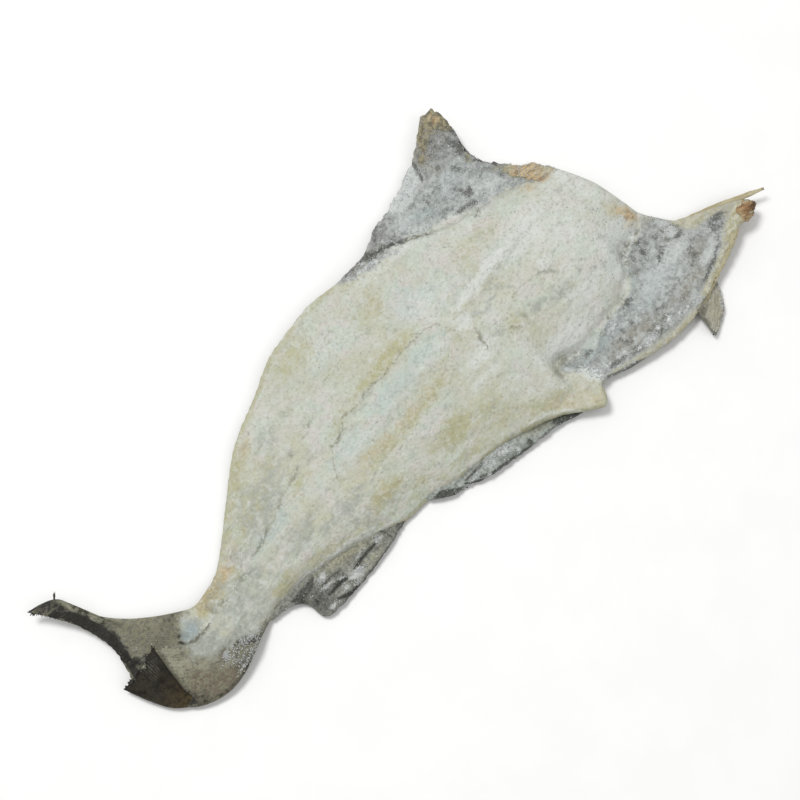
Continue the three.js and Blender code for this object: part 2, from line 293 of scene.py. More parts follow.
@dataclass(frozen=True)
class Blot:
    """A soft-edged oval patch."""

    x: float
    y: float
    long: float
    wide: float
    strength: float = 1.0
    turn: float = 0.0

    def weigh(self, x: Array, y: Array) -> Array:
        """How strong the patch is at places.

        Args:
            x, y: places along the fish and across it.

        Returns:
            The strengths.
        """
        c, s = math.cos(math.radians(self.turn)), math.sin(math.radians(self.turn))
        dx, dy = x - self.x, y - self.y
        along, across = (c * dx + s * dy) / self.long, (c * dy - s * dx) / self.wide
        return self.strength * np.exp(-((along**2 + across**2) ** 1.3))


@dataclass(frozen=True)
class Stroke:
    """A soft-edged streak along a bent line, thinner to its ends."""

    line: Points
    wide: float
    strength: float = 1.0

    def weigh(self, x: Array, y: Array) -> Array:
        """How strong the streak is at places.

        Args:
            x, y: places along the fish and across it.

        Returns:
            The strengths.
        """
        gap, share = to_line(x, y, self.line)
        wide = self.wide * (0.35 + 0.65 * np.sin(np.pi * clamp01(share)) ** 0.5)
        return self.strength * np.exp(-((gap / wide) ** 2))


@dataclass(frozen=True)
class Field:
    """A patch inside a closed outline, soft at its edge."""

    outline: Points
    soft: float
    strength: float = 1.0

    def weigh(self, x: Array, y: Array) -> Array:
        """How strong the patch is at places.

        Args:
            x, y: places along the fish and across it.

        Returns:
            The strengths.
        """
        ring = [*self.outline, self.outline[0]]
        gap, _ = to_line(x, y, ring)
        inside = np.zeros(x.shape, bool)
        for (ax, ay), (bx, by) in zip(ring, ring[1:]):
            crossed = (ay > y) != (by > y)
            inside ^= crossed & (x < (bx - ax) * (y - ay) / ((by - ay) or 1.0) + ax)
        return self.strength * smooth(0.5 + np.where(inside, gap, -gap) / self.soft)


Mark = Blot | Stroke | Field


def blots(*rows: Sequence[float]) -> tuple[Blot, ...]:
    """Patches from rows of a place along and across, two half sizes, a strength and a turn in degrees."""
    return tuple(Blot(*row) for row in rows)


def strokes(*rows: Sequence[Any]) -> tuple[Stroke, ...]:
    """Streaks from rows of a width, a strength and the corners of the line."""
    return tuple(Stroke(tuple(line), wide, strength) for wide, strength, *line in rows)


@dataclass(frozen=True)
class ShortCracks:
    """Short jagged cracks scattered over the flesh, mostly along the fish."""

    seed: int
    count: int
    along: tuple[float, float] = (-190, 270)
    across: tuple[float, float] = (-60, 125)
    heading: tuple[float, float] = (0.1, 0.6)  # mean and spread in radians
    lengths: tuple[float, float] = (4, 13)
    legs: int = 4
    bend: float = 0.5
    wide: float = 0.9
    strengths: tuple[float, float] = (0.15, 0.5)

    def draw(self) -> tuple[Stroke, ...]:
        """Draws the cracks at random.

        Returns:
            The cracks as thin streaks.
        """
        rng = np.random.default_rng(self.seed)
        cracks = []
        for _ in range(self.count):
            x, y = rng.uniform(*self.along), rng.uniform(*self.across)
            heading, length = rng.normal(*self.heading), rng.uniform(*self.lengths)
            bends = np.cumsum(rng.normal(0, self.bend, self.legs)) + heading
            steps = np.cumsum(np.stack([np.cos(bends), np.sin(bends)], -1) * length / self.legs, axis=0)
            line = ((x, y), *((float(x + dx), float(y + dy)) for dx, dy in steps))
            cracks.append(Stroke(line, self.wide, float(rng.uniform(*self.strengths))))
        return tuple(cracks)


def rift(lines: Sequence[Stroke], x: Array, y: Array) -> Array:
    """Distance to the nearest of some lines, below nought on their right.

    Args:
        lines: the streaks whose lines count.
        x, y: places along the fish and across it.

    Returns:
        The distances in millimetres.
    """
    nearest = np.full_like(x, CRACK_REACH)
    for line in lines:
        for (ax, ay), (bx, by) in zip(line.line, line.line[1:]):
            long = math.hypot(bx - ax, by - ay)
            ahead = ((x - ax) * (bx - ax) + (y - ay) * (by - ay)) / long
            across = ((bx - ax) * (y - ay) - (by - ay) * (x - ax)) / long
            gap = np.hypot(across, ahead - np.clip(ahead, 0, long))
            nearest = np.where(gap < np.abs(nearest), np.where(across < 0, -gap, gap), nearest)
    return nearest


def painted(marks: Sequence[Mark], x: Array, y: Array) -> Array:
    """All marks of one kind together, the strongest of them at each place.

    Args:
        marks: patches and streaks.
        x, y: places along the fish and across it.

    Returns:
        The strengths.
    """
    total = np.zeros_like(x)
    for mark in marks:
        total = np.maximum(total, mark.weigh(x, y))
    return total


# ---- Meshes --------------------------------------------------------------------------------------------
def read_points(piece: Piece) -> Array:
    """The mesh's points, one row each.

    Args:
        piece: whose mesh is read.

    Returns:
        The points in metres.
    """
    flat = np.empty(len(piece.data.vertices) * 3, np.float32)
    piece.data.vertices.foreach_get("co", flat)
    return flat.reshape(-1, 3).astype(float)


def fish_points(piece: Piece) -> Array:
    """The mesh's points in millimetres on the fish, one row each."""
    return read_points(piece) / MM - ORIGIN_SHIFT


def write_points(piece: Piece, points: Array) -> None:
    """Moves the mesh's points to places in millimetres on the fish.

    Args:
        piece: whose mesh is moved.
        points: the places, one row each.
    """
    placed = (points + ORIGIN_SHIFT) * MM
    piece.data.vertices.foreach_set("co", placed.astype(np.float32).ravel())
    piece.data.update()


def paint(piece: Piece, mask: Enum, values: Array) -> None:
    """Keeps one number a point under a mask's name, for the material to read."""
    layer = piece.data.attributes.new(mask.value, "FLOAT", "POINT")
    layer.data.foreach_set("value", values.astype(np.float32))


def dress(piece: Piece, material: Material) -> Piece:
    """Gives a piece its material, and hands the piece back."""
    piece.data.materials.append(material)
    return piece


def primitive(name: str, add: Callable[..., Any], **settings: Any) -> Piece:
    """Adds a primitive after everything else is deselected.

    Args:
        name: what the new piece is called.
        add: the operator that adds it.
        settings: the operator's settings.

    Returns:
        The new piece.
    """
    bpy.ops.object.select_all(action="DESELECT")
    add(**settings)
    piece = bpy.context.object
    piece.name = piece.data.name = name
    return piece


def edit(piece: Piece, *steps: Callable[[], Any]) -> None:
    """Runs modelling steps on all of a piece in edit mode.

    Args:
        piece: what is edited.
        steps: the operators to call, in order.
    """
    bpy.ops.object.select_all(action="DESELECT")
    piece.select_set(True)
    bpy.context.view_layer.objects.active = piece
    bpy.ops.object.mode_set(mode="EDIT")
    bpy.ops.mesh.select_all(action="SELECT")
    for step in steps:
        step()
    bpy.ops.object.mode_set(mode="OBJECT")


def close_up(piece: Piece) -> None:
    """Turns every face outwards and shades the piece smooth."""
    edit(piece, lambda: bpy.ops.mesh.normals_make_consistent(inside=False))
    bpy.ops.object.shade_smooth()


def make_leaf(name: str, cells: tuple[int, int], place: Place, cuts: int = 0) -> Piece:
    """Draws a flat grid up into a closed leaf and lays its two sides where place says.

    Args:
        name: the piece's name.
        cells: faces along it and across it, on the lower side.
        place: gives points from shares along and across, and whether they are on the upper side.
        cuts: how often the faces of the upper side are cut.

    Returns:
        The piece.
    """
    subdivisions = {"x_subdivisions": cells[0], "y_subdivisions": cells[1]}
    leaf = primitive(name, bpy.ops.mesh.primitive_grid_add, size=2.0, **subdivisions)
    edit(leaf, lambda: bpy.ops.mesh.extrude_region_move(TRANSFORM_OT_translate={"value": (0, 0, 1)}))
    if cuts:
        bpy.ops.object.mode_set(mode="EDIT")
        bpy.ops.mesh.subdivide(number_cuts=cuts)
        bpy.ops.object.mode_set(mode="OBJECT")
    flat = read_points(leaf)
    write_points(leaf, place((flat[:, 0] + 1) / 2, (flat[:, 1] + 1) / 2, flat[:, 2] > 0.5))
    close_up(leaf)
    return leaf


def make_rod(name: str, sides: int, rings: int, place: Callable[[Array, Array], Array]) -> Piece:
    """Extrudes a filled circle ring by ring and lays the rings where place says.

    Args:
        name: the piece's name.
        sides: corners of a ring.
        rings: how many steps the rod has.
        place: gives points from the share along and the angle round.

    Returns:
        The piece.
    """
    rod = primitive(name, bpy.ops.mesh.primitive_circle_add, vertices=sides, radius=1.0, fill_type="NGON")
    ring = {"value": (0, 0, 1)}
    edit(rod, *[lambda: bpy.ops.mesh.extrude_region_move(TRANSFORM_OT_translate=ring)] * rings)
    flat = read_points(rod)
    write_points(rod, place(flat[:, 2] / rings, np.arctan2(flat[:, 1], flat[:, 0])))
    close_up(rod)
    return rod


def turned(angles: Array) -> Array:
    """Rotation matrices from rows of three angles about x, y and z.

    Args:
        angles: the rows, in radians.

    Returns:
        One matrix a row.
    """
    (cx, cy, cz), (sx, sy, sz) = np.cos(angles).T, np.sin(angles).T
    rows = [
        [cy * cz, sx * sy * cz - cx * sz, cx * sy * cz + sx * sz],
        [cy * sz, sx * sy * sz + cx * cz, cx * sy * sz - sx * cz],
        [-sy, sx * cy, cx * cy],
    ]
    return np.moveaxis(np.array(rows), -1, 0)


def copies(name: str, pattern: Piece, places: Array, turns: Array, sizes: Array) -> Piece:
    """Joins many copies of one small piece into a single mesh, and deletes the pattern.

    Args:
        name: the new piece's name.
        pattern: the small piece, about the origin.
        places: the copies' middles in millimetres, one row each.
        turns: their rotation matrices.
        sizes: their half sizes in millimetres along their own three directions.

    Returns:
        The new piece.
    """
    shape = read_points(pattern)
    faces = [tuple(face.vertices) for face in pattern.data.polygons]
    bpy.data.objects.remove(pattern)
    points = np.einsum("nij,nkj->nki", turns, shape[None] * sizes[:, None]) + places[:, None]
    corners = np.array([i for face in faces for i in face])
    every = (np.arange(len(places))[:, None] * len(shape) + corners).ravel()
    lengths = np.tile([len(face) for face in faces], len(places))
    mesh = bpy.data.meshes.new(name)
    mesh.vertices.add(len(places) * len(shape))
    mesh.loops.add(len(every))
    mesh.polygons.add(len(lengths))
    mesh.loops.foreach_set("vertex_index", every.astype(np.int32))
    mesh.polygons.foreach_set("loop_start", np.concatenate([[0], np.cumsum(lengths)[:-1]]).astype(np.int32))
    piece = bpy.data.objects.new(name, mesh)
    bpy.context.scene.collection.objects.link(piece)
    write_points(piece, points.reshape(-1, 3))
    mesh.update(calc_edges=True)
    mesh.validate()
    return piece


def rim_share(distance: Array, radius: Array) -> Array:
    """Share of its full thickness that a leaf keeps at a distance from its rim."""
    return np.sqrt(1 - (1 - clamp01(distance / radius)) ** 2)


# ---- Materials -----------------------------------------------------------------------------------------
def tint(code: str) -> tuple[float, float, float, float]:
    """The linear colour of a screen colour code such as c8c8b9.

    Args:
        code: six hexadecimal digits.

    Returns:
        Red, green, blue and alpha.
    """
    parts = [int(code[i : i + 2], 16) / 255 for i in (0, 2, 4)]
    linear = [p / 12.92 if p <= 0.04045 else ((p + 0.055) / 1.055) ** 2.4 for p in parts]
    return (*linear, 1.0)


class Recipe:
    """A material's nodes while they are put together."""

    def __init__(self, name: str) -> None:
        """Starts an empty material that reads object coordinates.

        Args:
            name: the material's name.
        """
        self.material = bpy.data.materials.new(name)
        self.material.use_nodes = True
        self.tree = self.material.node_tree
        self.tree.nodes.clear()
        self.place = self.add("ShaderNodeTexCoord").outputs["Object"]

    def add(self, kind: str, **settings: Any) -> bpy.types.Node:
        """A new node with its settings.

        Args:
            kind: the node's type.
            settings: its properties by name.

        Returns:
            The node.
        """
        node = self.tree.nodes.new(kind)
        for key, value in settings.items():
            setattr(node, key, value)
        return node

    def feed(self, socket: Socket, value: Any) -> None:
        """Links an output to a socket, or sets the socket's own value.

        Args:
            socket: the input.
            value: an output, a number or a colour.
        """
        if isinstance(value, Socket):
            self.tree.links.new(value, socket)
        else:
            socket.default_value = value

    def stretched(self, scale: tuple[float, float, float], turn: float = 0.0) -> Socket:
        """Object coordinates stretched along the fish, turned by degrees first.

        Args:
            scale: how much longer the features get each way.
            turn: the turn.

        Returns:
            The coordinates.
        """
        node = self.add("ShaderNodeMapping", vector_type="TEXTURE")
        self.feed(node.inputs["Vector"], self.place)
        node.inputs["Rotation"].default_value = (0, 0, math.radians(turn))
        node.inputs["Scale"].default_value = scale
        return node.outputs["Vector"]

    def noise(
        self, cell: float, detail: float = 3.0, rough: float = 0.55, bend: float = 0.0, place: Any = None
    ) -> Socket:
        """Noise from about 0.3 to 0.7.

        Args:
            cell: size of its widest features in millimetres.
            detail: finer layers on them.
            rough: how strong each finer layer is.
            bend: distortion.
            place: coordinates, the object's own where none are given.

        Returns:
            The noise's output.
        """
        node = self.add("ShaderNodeTexNoise")
        self.feed(node.inputs["Vector"], place or self.place)
        node.inputs["Scale"].default_value = 1.0 / (cell * MM)
        node.inputs["Detail"].default_value = detail
        node.inputs["Roughness"].default_value = rough
        node.inputs["Distortion"].default_value = bend
        return node.outputs["Fac"]

    def mask(self, mask: Enum) -> Socket:
        """The numbers kept at the piece's points under a mask's name."""
        return self.add("ShaderNodeAttribute", attribute_name=mask.value).outputs["Fac"]

    def math(self, operation: str, a: Any, b: Any = 0.0) -> Socket:
        """One sum of two numbers or outputs.

        Args:
            operation: the kind of sum.
            a, b: its numbers or outputs.

        Returns:
            The sum.
        """
        node = self.add("ShaderNodeMath", operation=operation)
        self.feed(node.inputs[0], a)
        self.feed(node.inputs[1], b)
        return node.outputs[0]

    def band(self, value: Any, low: float, high: float, top: float = 1.0) -> Socket:
        """Eases from 0 to top while a value goes from low to high.

        Args:
            value: what is eased.
            low, high: where it starts and ends.
            top: what it ends at.

        Returns:
            The eased output.
        """
        node = self.add("ShaderNodeMapRange", interpolation_type="SMOOTHSTEP")
        self.feed(node.inputs["Value"], value)
        for name, number in (("From Min", low), ("From Max", high), ("To Max", top)):
            node.inputs[name].default_value = number
        return node.outputs["Result"]

    def both(self, *values: Any) -> Socket:
        """The product of several numbers.

        Args:
            values: numbers or outputs.

        Returns:
            The product.
        """
        result = values[0]
        for value in values[1:]:
            result = self.math("MULTIPLY", result, value)
        return result

    def patch(self, mask: Enum, noise: Any, top: float = 1.0) -> Socket:
        """A mask of the points whose soft edge a noise breaks up."""
        torn = self.math("ADD", self.both(self.mask(mask), 0.6), self.math("SUBTRACT", noise, 0.5))
        return self.band(torn, 0.06, 0.62, top)

    def over(self, share: Any, below: Any, above: Any) -> Socket:
        """One colour laid over another by a share.

        Args:
            share: how much of the upper colour shows.
            below, above: colour codes or outputs.

        Returns:
            The colour.
        """
        node = self.add("ShaderNodeMix", data_type="RGBA", clamp_factor=True)
        self.feed(node.inputs[0], share)
        self.feed(node.inputs[6], tint(below) if isinstance(below, str) else below)
        self.feed(node.inputs[7], tint(above) if isinstance(above, str) else above)
        return node.outputs[2]

    def flecks(
        self, below: Any, above: Any, noise: Any, low: float, high: float, top: float = 1.0
    ) -> Socket:
        """One colour over another, the more the nearer a noise is to high."""
        return self.over(self.band(noise, low, high, top), below, above)

    def stains(
        self, below: Any, above: Any, mask: Enum, noise: Any, low: float, high: float, top: float = 1.0
    ) -> Socket:
        """One colour over another where a mask is, the more the nearer a noise is to high."""
        return self.over(self.both(self.mask(mask), self.band(noise, low, high, top)), below, above)

    def finish(self, colour: Any, rough: Any, height: Any, deep: float, **sockets: float) -> Material:
        """Ends the material in one shader.

        Args:
            colour: of its surface.
            rough: its roughness.
            height: of its bumps, from 0 to 1.
            deep: how deep they are in millimetres.
            sockets: values of other sockets of the shader, by name with underscores.

        Returns:
            The material.
        """
        shader = self.add("ShaderNodeBsdfPrincipled")
        bump = self.add("ShaderNodeBump")
        bump.inputs["Distance"].default_value = deep * MM
        self.feed(bump.inputs["Height"], height)
        self.feed(shader.inputs["Base Color"], colour)
        self.feed(shader.inputs["Roughness"], rough)
        self.feed(shader.inputs["Normal"], bump.outputs["Normal"])
        for name, value in sockets.items():
            shader.inputs[name.replace("_", " ")].default_value = value
        out = self.add("ShaderNodeOutputMaterial")
        self.feed(out.inputs["Surface"], shader.outputs["BSDF"])
        return self.material


class Mask(Enum):
    """What the points of the body keep for its material."""

    LINING = "lining"
    SKIN = "skin"
    HONEY = "honey"
    RUST = "rust"
    SEA = "sea"
    FROST = "frost"
    # Dark marks; one of them is a painted shadow on the flesh edge above the rear anal fin.
    CHAR_AND_SHADE = "char_and_shade"
    CRACK = "crack"
    CREAM = "cream"
    PALE = "pale"
    UMBER = "umber"
    GREY = "grey"
    LIVID = "livid"
    RIFT = "rift"
    AMBER = "amber"
    BLOOM = "bloom"


class FinMask(Enum):
    """What the points of the lobe, the fins and the bones keep for their materials."""

    RAY = "ray"
    DARK = "dark"
    OLIVE = "olive"
    FROST = "frost"
    WORN = "worn"


@dataclass(frozen=True)
class HideFinish:
    """Colours of the split body: flesh, belly lining and skin."""

    flesh: str = "bac1b4"
    flesh_blush: str = "c3c0b9"
    flesh_warm: str = "b6b6a3"
    flesh_grey: str = "9ca096"
    honey: str = "a8a680"
    amber: str = "b0a47f"
    sea: str = "b0c0bd"
    slate: str = "8f9c9d"
    bloom: str = "cdd1cb"
    rust: str = "ad946e"
    rust_deep: str = "7d664b"
    rust_pale: str = "c4b18d"
    moss: str = "908b6c"
    moss_dark: str = "5b5845"
    freckle: str = "8a8977"
    crack: str = "a3a28c"
    crack_deep: str = "7c7b66"
    cream: str = "a6a285"
    cream_pale: str = "bfbda8"
    lining: str = "abafac"
    lining_grey: str = "8b8e8c"
    char_and_shade: str = "4d4e49"
    lining_salt: str = "c6cac8"
    lining_sea: str = "a3b1af"
    lining_tan: str = "98917d"
    livid: str = "8d8c89"
    skin: str = "6d6c5f"
    skin_dark: str = "23211e"
    skin_pale: str = "84826d"
    skin_worn: str = "9b9986"
    umber: str = "6f6657"
    skin_salt: str = "a6a89d"
    # Salt clumps made whiter than the other salt: real salt, and partly painted light on a slope the lamps
    # leave in shade.
    lit_clump: str = "e5e9e7"

    def make(self) -> Material:
        """Builds the material.

        Returns:
            The material.
        """
        r = Recipe("salted_hide")
        broad, mid = r.noise(38, 2), r.noise(9, 3, 0.55, 0.2)
        fine, grit = r.noise(2.8, 4, 0.6), r.noise(1.1, 2)
        other = r.noise(6, 4, 0.6, place=r.stretched((1.6, 1, 1)))
        blobs, spots = r.noise(5.2, 3, 0.55), r.noise(3.4, 3, 0.5)
        flesh = self.flesh_layers(r, broad, mid, fine, other)
        lining = self.lining_layers(r, mid, spots, grit, blobs)
        skin = self.skin_layers(r, mid, fine, spots)
        uneven = r.math("SUBTRACT", r.both(r.math("ADD", fine, blobs), 0.5), 0.5)
        edge = r.math("MULTIPLY", uneven, 1.6)
        on_lining = r.band(r.math("ADD", r.mask(Mask.LINING), edge), 0.22, 0.8)
        on_skin = r.band(r.math("ADD", r.mask(Mask.SKIN), edge), 0.2, 0.85)
        colour = r.over(on_skin, r.over(on_lining, flesh, lining), skin)
        split = self.split(r)
        gap = r.flecks(self.crack, self.crack_deep, fine, 0.55, 0.42)
        colour = r.over(r.both(split, 0.85), colour, r.over(on_lining, gap, self.char_and_shade))
        height = r.math("ADD", r.both(fine, 0.7), r.both(grit, 0.3))
        height = r.math("ADD", height, r.both(spots, 0.5))
        height = r.math("SUBTRACT", height, r.both(split, 0.35))
        return r.finish(colour, r.band(mid, 0.2, 0.8, 0.95), height, 1.2, Specular_IOR_Level=0.2)

    def split(self, r: Recipe) -> Socket:
        """Thin jagged lines of the cracks and creases, from the distance kept at the points.

        Args:
            r: the material's recipe.

        Returns:
            The share of the lines.
        """
        wobble = r.math("MULTIPLY", r.math("SUBTRACT", r.noise(2.6, 3, 0.6), 0.5), 4.5)
        gap = r.math("ABSOLUTE", r.math("ADD", r.mask(Mask.RIFT), wobble))
        open_up = r.band(r.noise(6, 3), 0.36, 0.56)
        return r.both(r.band(gap, 1.3, 0.15), r.mask(Mask.CRACK), open_up)

    def crusted(
        self, r: Recipe, below: Any, mid: Any, fine: Any, low: float = 0.0, high: float = 0.8
    ) -> Socket:
        """A tan crust with pale crumbs and brown hollows.

        Args:
            r: the material's recipe.
            below: the colour under the crust.
            mid, fine: noises of two sizes.
            low, high: where the rust mask starts and ends.

        Returns:
            The colour.
        """
        streak = r.noise(4.2, 5, 0.72, 0.3, place=r.stretched((2.4, 1, 1), -25))
        crust = r.flecks(self.rust, self.rust_pale, streak, 0.45, 0.55)
        crust = r.flecks(crust, self.rust_deep, streak, 0.45, 0.36)
        crust = r.flecks(crust, self.rust_pale, fine, 0.52, 0.7, 0.3)
        share = r.both(r.band(r.mask(Mask.RUST), low, high), r.band(mid, 0.25, 0.5))
        return r.over(share, below, crust)

    def flesh_layers(self, r: Recipe, broad: Any, mid: Any, fine: Any, other: Any) -> Socket:
        """The cut flesh: warm and bluish patches, salt bloom, crusts, freckles and creases.

        Args:
            r: the material's recipe.
            broad, mid, fine, other: noises, from the widest to the finest.

        Returns:
            The colour.
        """
        c = r.flecks(self.flesh, self.flesh_blush, r.noise(17, 3, 0.55), 0.42, 0.58)
        c = r.flecks(c, self.flesh_warm, broad, 0.4, 0.65)
        patches = r.noise(7, 4, 0.68, place=r.stretched((1.5, 1, 1)))
        for mask, noise, top, colour in (
            (Mask.SEA, other, 0.6, self.sea),
            (Mask.HONEY, patches, 0.9, self.honey),
            (Mask.AMBER, mid, 0.9, self.amber),
            (Mask.GREY, other, 1.0, self.flesh_grey),
            (Mask.LIVID, mid, 1.0, self.slate),
            (Mask.BLOOM, patches, 1.0, self.bloom),
        ):
            c = r.over(r.patch(mask, noise, top), c, colour)
        c = r.flecks(c, self.flesh_grey, other, 0.5, 0.78, 0.45)
        c = r.flecks(c, self.bloom, mid, 0.48, 0.78, 0.6)
        c = r.flecks(c, self.bloom, fine, 0.52, 0.72, 0.42)
        c = self.crusted(r, c, mid, fine)
        warm = r.math("ADD", r.mask(Mask.HONEY), r.mask(Mask.AMBER))
        c = r.over(r.both(warm, r.band(fine, 0.5, 0.3, 0.6)), c, self.amber)
        c = r.flecks(c, self.freckle, fine, 0.46, 0.3, 0.44)
        crease = r.math("ABSOLUTE", r.math("SUBTRACT", r.noise(11, 4, 0.6), 0.5))
        c = r.over(r.both(r.band(crease, 0.03, 0.004, 0.25), r.band(broad, 0.62, 0.42)), c, self.freckle)
        c = r.over(r.both(r.mask(Mask.CHAR_AND_SHADE), r.band(fine, 0.65, 0.45), 0.9), c, self.skin)
        return r.stains(c, self.bloom, Mask.FROST, fine, 0.25, 0.6)

    def lining_layers(self, r: Recipe, mid: Any, spots: Any, grit: Any, blobs: Any) -> Socket:
        """The dried belly lining: grey, with dark clusters, mossy crust, cream and white salt.

        Args:
            r: the material's recipe.
            mid, spots, grit, blobs: noises of several sizes.

        Returns:
            The colour.
        """
        c = r.flecks(self.lining, self.lining_grey, blobs, 0.42, 0.6)
        c = r.stains(c, self.livid, Mask.LIVID, blobs, 0.25, 0.5)
        c = r.stains(c, self.lining_sea, Mask.SEA, mid, 0.25, 0.55, 0.55)
        c = r.stains(c, self.lining_tan, Mask.HONEY, blobs, 0.3, 0.55, 0.5)
        c = r.over(r.mask(Mask.PALE), c, self.lining_salt)
        c = r.flecks(c, self.lining_salt, mid, 0.52, 0.7, 0.5)
        c = r.flecks(c, self.char_and_shade, r.noise(2.6, 3), 0.54, 0.72, 0.3)
        speckled = r.both(r.math("ADD", spots, r.noise(2, 3)), 0.5)
        dark = r.math("ADD", speckled, r.both(r.mask(Mask.CHAR_AND_SHADE), 0.26))
        c = r.flecks(c, self.char_and_shade, dark, 0.52, 0.84, 0.85)
        salted = r.math("ADD", spots, r.both(r.mask(Mask.FROST), 0.3))
        c = r.flecks(self.lining_salt, c, salted, 0.84, 0.6)
        # Extra-white salt where the frost mask runs high: real salt clumps, partly painted light lifting a
        # shaded slope.
        c = r.over(r.both(r.band(r.mask(Mask.FROST), 1.0, 1.6), r.band(spots, 0.3, 0.5)), c, self.lit_clump)
        moss = r.flecks(self.moss, self.moss_dark, spots, 0.58, 0.42)
        c = r.over(r.both(r.band(r.mask(Mask.RUST), 0.1, 0.7), r.band(mid, 0.25, 0.5, 0.9)), c, moss)
        streaks = r.noise(3.2, 4, 0.7, place=r.stretched((2.4, 1, 1), 40))
        c = r.stains(c, self.char_and_shade, Mask.LIVID, streaks, 0.52, 0.64, 0.6)
        c = self.crusted(r, c, r.math("ADD", mid, 0.15), spots, 0.55, 0.95)
        cream = r.flecks(self.cream, self.cream_pale, blobs, 0.42, 0.6)
        c = r.stains(c, cream, Mask.CREAM, spots, 0.28, 0.48)
        return r.flecks(c, self.lining_salt, grit, 0.58, 0.74, 0.3)

    def skin_layers(self, r: Recipe, mid: Any, fine: Any, spots: Any) -> Socket:
        """The skin: speckled brown-grey, with salt in its hollows.

        Args:
            r: the material's recipe.
            mid, fine, spots: noises of several sizes.

        Returns:
            The colour.
        """
        c = r.flecks(self.skin, self.skin_pale, spots, 0.42, 0.57)
        c = r.flecks(c, self.skin_pale, fine, 0.52, 0.72, 0.55)
        c = r.stains(c, self.umber, Mask.UMBER, spots, 0.66, 0.4)
        c = r.stains(c, self.skin_worn, Mask.PALE, mid, 0.3, 0.6)
        c = r.flecks(c, self.skin_dark, fine, 0.46, 0.3, 0.5)
        speckled = r.both(r.math("ADD", spots, fine), 0.5)
        dark = r.math("ADD", speckled, r.both(r.mask(Mask.CHAR_AND_SHADE), 0.4))
        c = r.flecks(c, self.skin_dark, dark, 0.52, 0.84, 0.97)
        salted = r.math("ADD", speckled, r.both(r.mask(Mask.FROST), 0.26))
        return r.flecks(self.skin_salt, c, salted, 0.78, 0.62)


@dataclass(frozen=True)
class MembraneFinish:
    """Dried fin skin, darker on its rays, with salt on it."""

    name: str = "fin_membrane"
    base: str = "6b675f"
    dark: str = "2c2824"
    pale: str = "8f8c84"
    salt: str = "c4c7c3"
    olive: str = "85836c"
    mottle: float = 0.8
    grit: float = 0.3

    def make(self) -> Material:
        """Builds the material.

        Returns:
            The material.
        """
        r = Recipe(self.name)
        mid, fine, spots = r.noise(7, 3, 0.55), r.noise(1.8, 3, 0.6), r.noise(3.2, 3, 0.5)
        c = r.flecks(self.base, self.pale, spots, 0.36, 0.64)
        c = r.stains(c, self.olive, FinMask.OLIVE, spots, 0.3, 0.55)
        c = r.flecks(c, self.dark, mid, 0.45, 0.75, self.mottle)
        c = r.over(r.both(r.mask(FinMask.RAY), 0.7), c, self.dark)
        dark = r.math("ADD", r.both(r.mask(FinMask.DARK), 0.6), r.math("SUBTRACT", spots, 0.5))
        c = r.flecks(c, self.dark, dark, 0.05, 0.8)
        c = r.flecks(c, self.salt, fine, 0.54, 0.74, self.grit)
        salted = r.math("ADD", r.both(r.mask(FinMask.FROST), 0.7), r.math("SUBTRACT", spots, 0.5))
        c = r.flecks(c, self.salt, salted, 0.2, 0.7)
        c = r.flecks(c, self.dark, fine, 0.46, 0.32, 0.4)
        height = r.math("ADD", r.both(fine, 0.7), r.both(spots, 0.5))
        return r.finish(c, r.band(mid, 0.2, 0.8, 0.9), height, 0.8, Specular_IOR_Level=0.25)


@dataclass(frozen=True)
class BoneFinish:
    """Dried bone and gristle, from waxy yellow to orange brown."""

    name: str
    base: str
    pale: str
    dark: str
    salt: str = "dfe0d8"

    def make(self) -> Material:
        """Builds the material.

        Returns:
            The material.
        """
        r = Recipe(self.name)
        mid, fine = r.noise(8, 3, 0.6, place=r.stretched((2.5, 1, 1), -30)), r.noise(1.8, 3, 0.6)
        c = r.flecks(self.base, self.pale, mid, 0.38, 0.62)
        c = r.flecks(c, self.dark, fine, 0.55, 0.75, 0.8)
        c = r.flecks(c, self.salt, r.noise(3.4, 3), 0.58, 0.7, 0.6)
        c = r.stains(c, self.salt, FinMask.WORN, fine, 0.25, 0.5)
        c = r.stains(c, self.dark, FinMask.DARK, fine, 0.3, 0.5)
        return r.finish(c, r.band(mid, 0.2, 0.8, 0.75), fine, 0.9, Specular_IOR_Level=0.3)


@dataclass(frozen=True)
class SaltFinish:
    """Coarse white salt."""

    base: str = "c2c5c3"
    shade: str = "a9acab"

    def make(self) -> Material:
        """Builds the material.

        Returns:
            The material.
        """
        r = Recipe("coarse_salt")
        fine = r.noise(1.5, 2)
        c = r.flecks(self.base, self.shade, fine, 0.4, 0.65)
        return r.finish(c, r.band(fine, 0.1, 0.7, 0.6), fine, 0.2, Specular_IOR_Level=0.5)


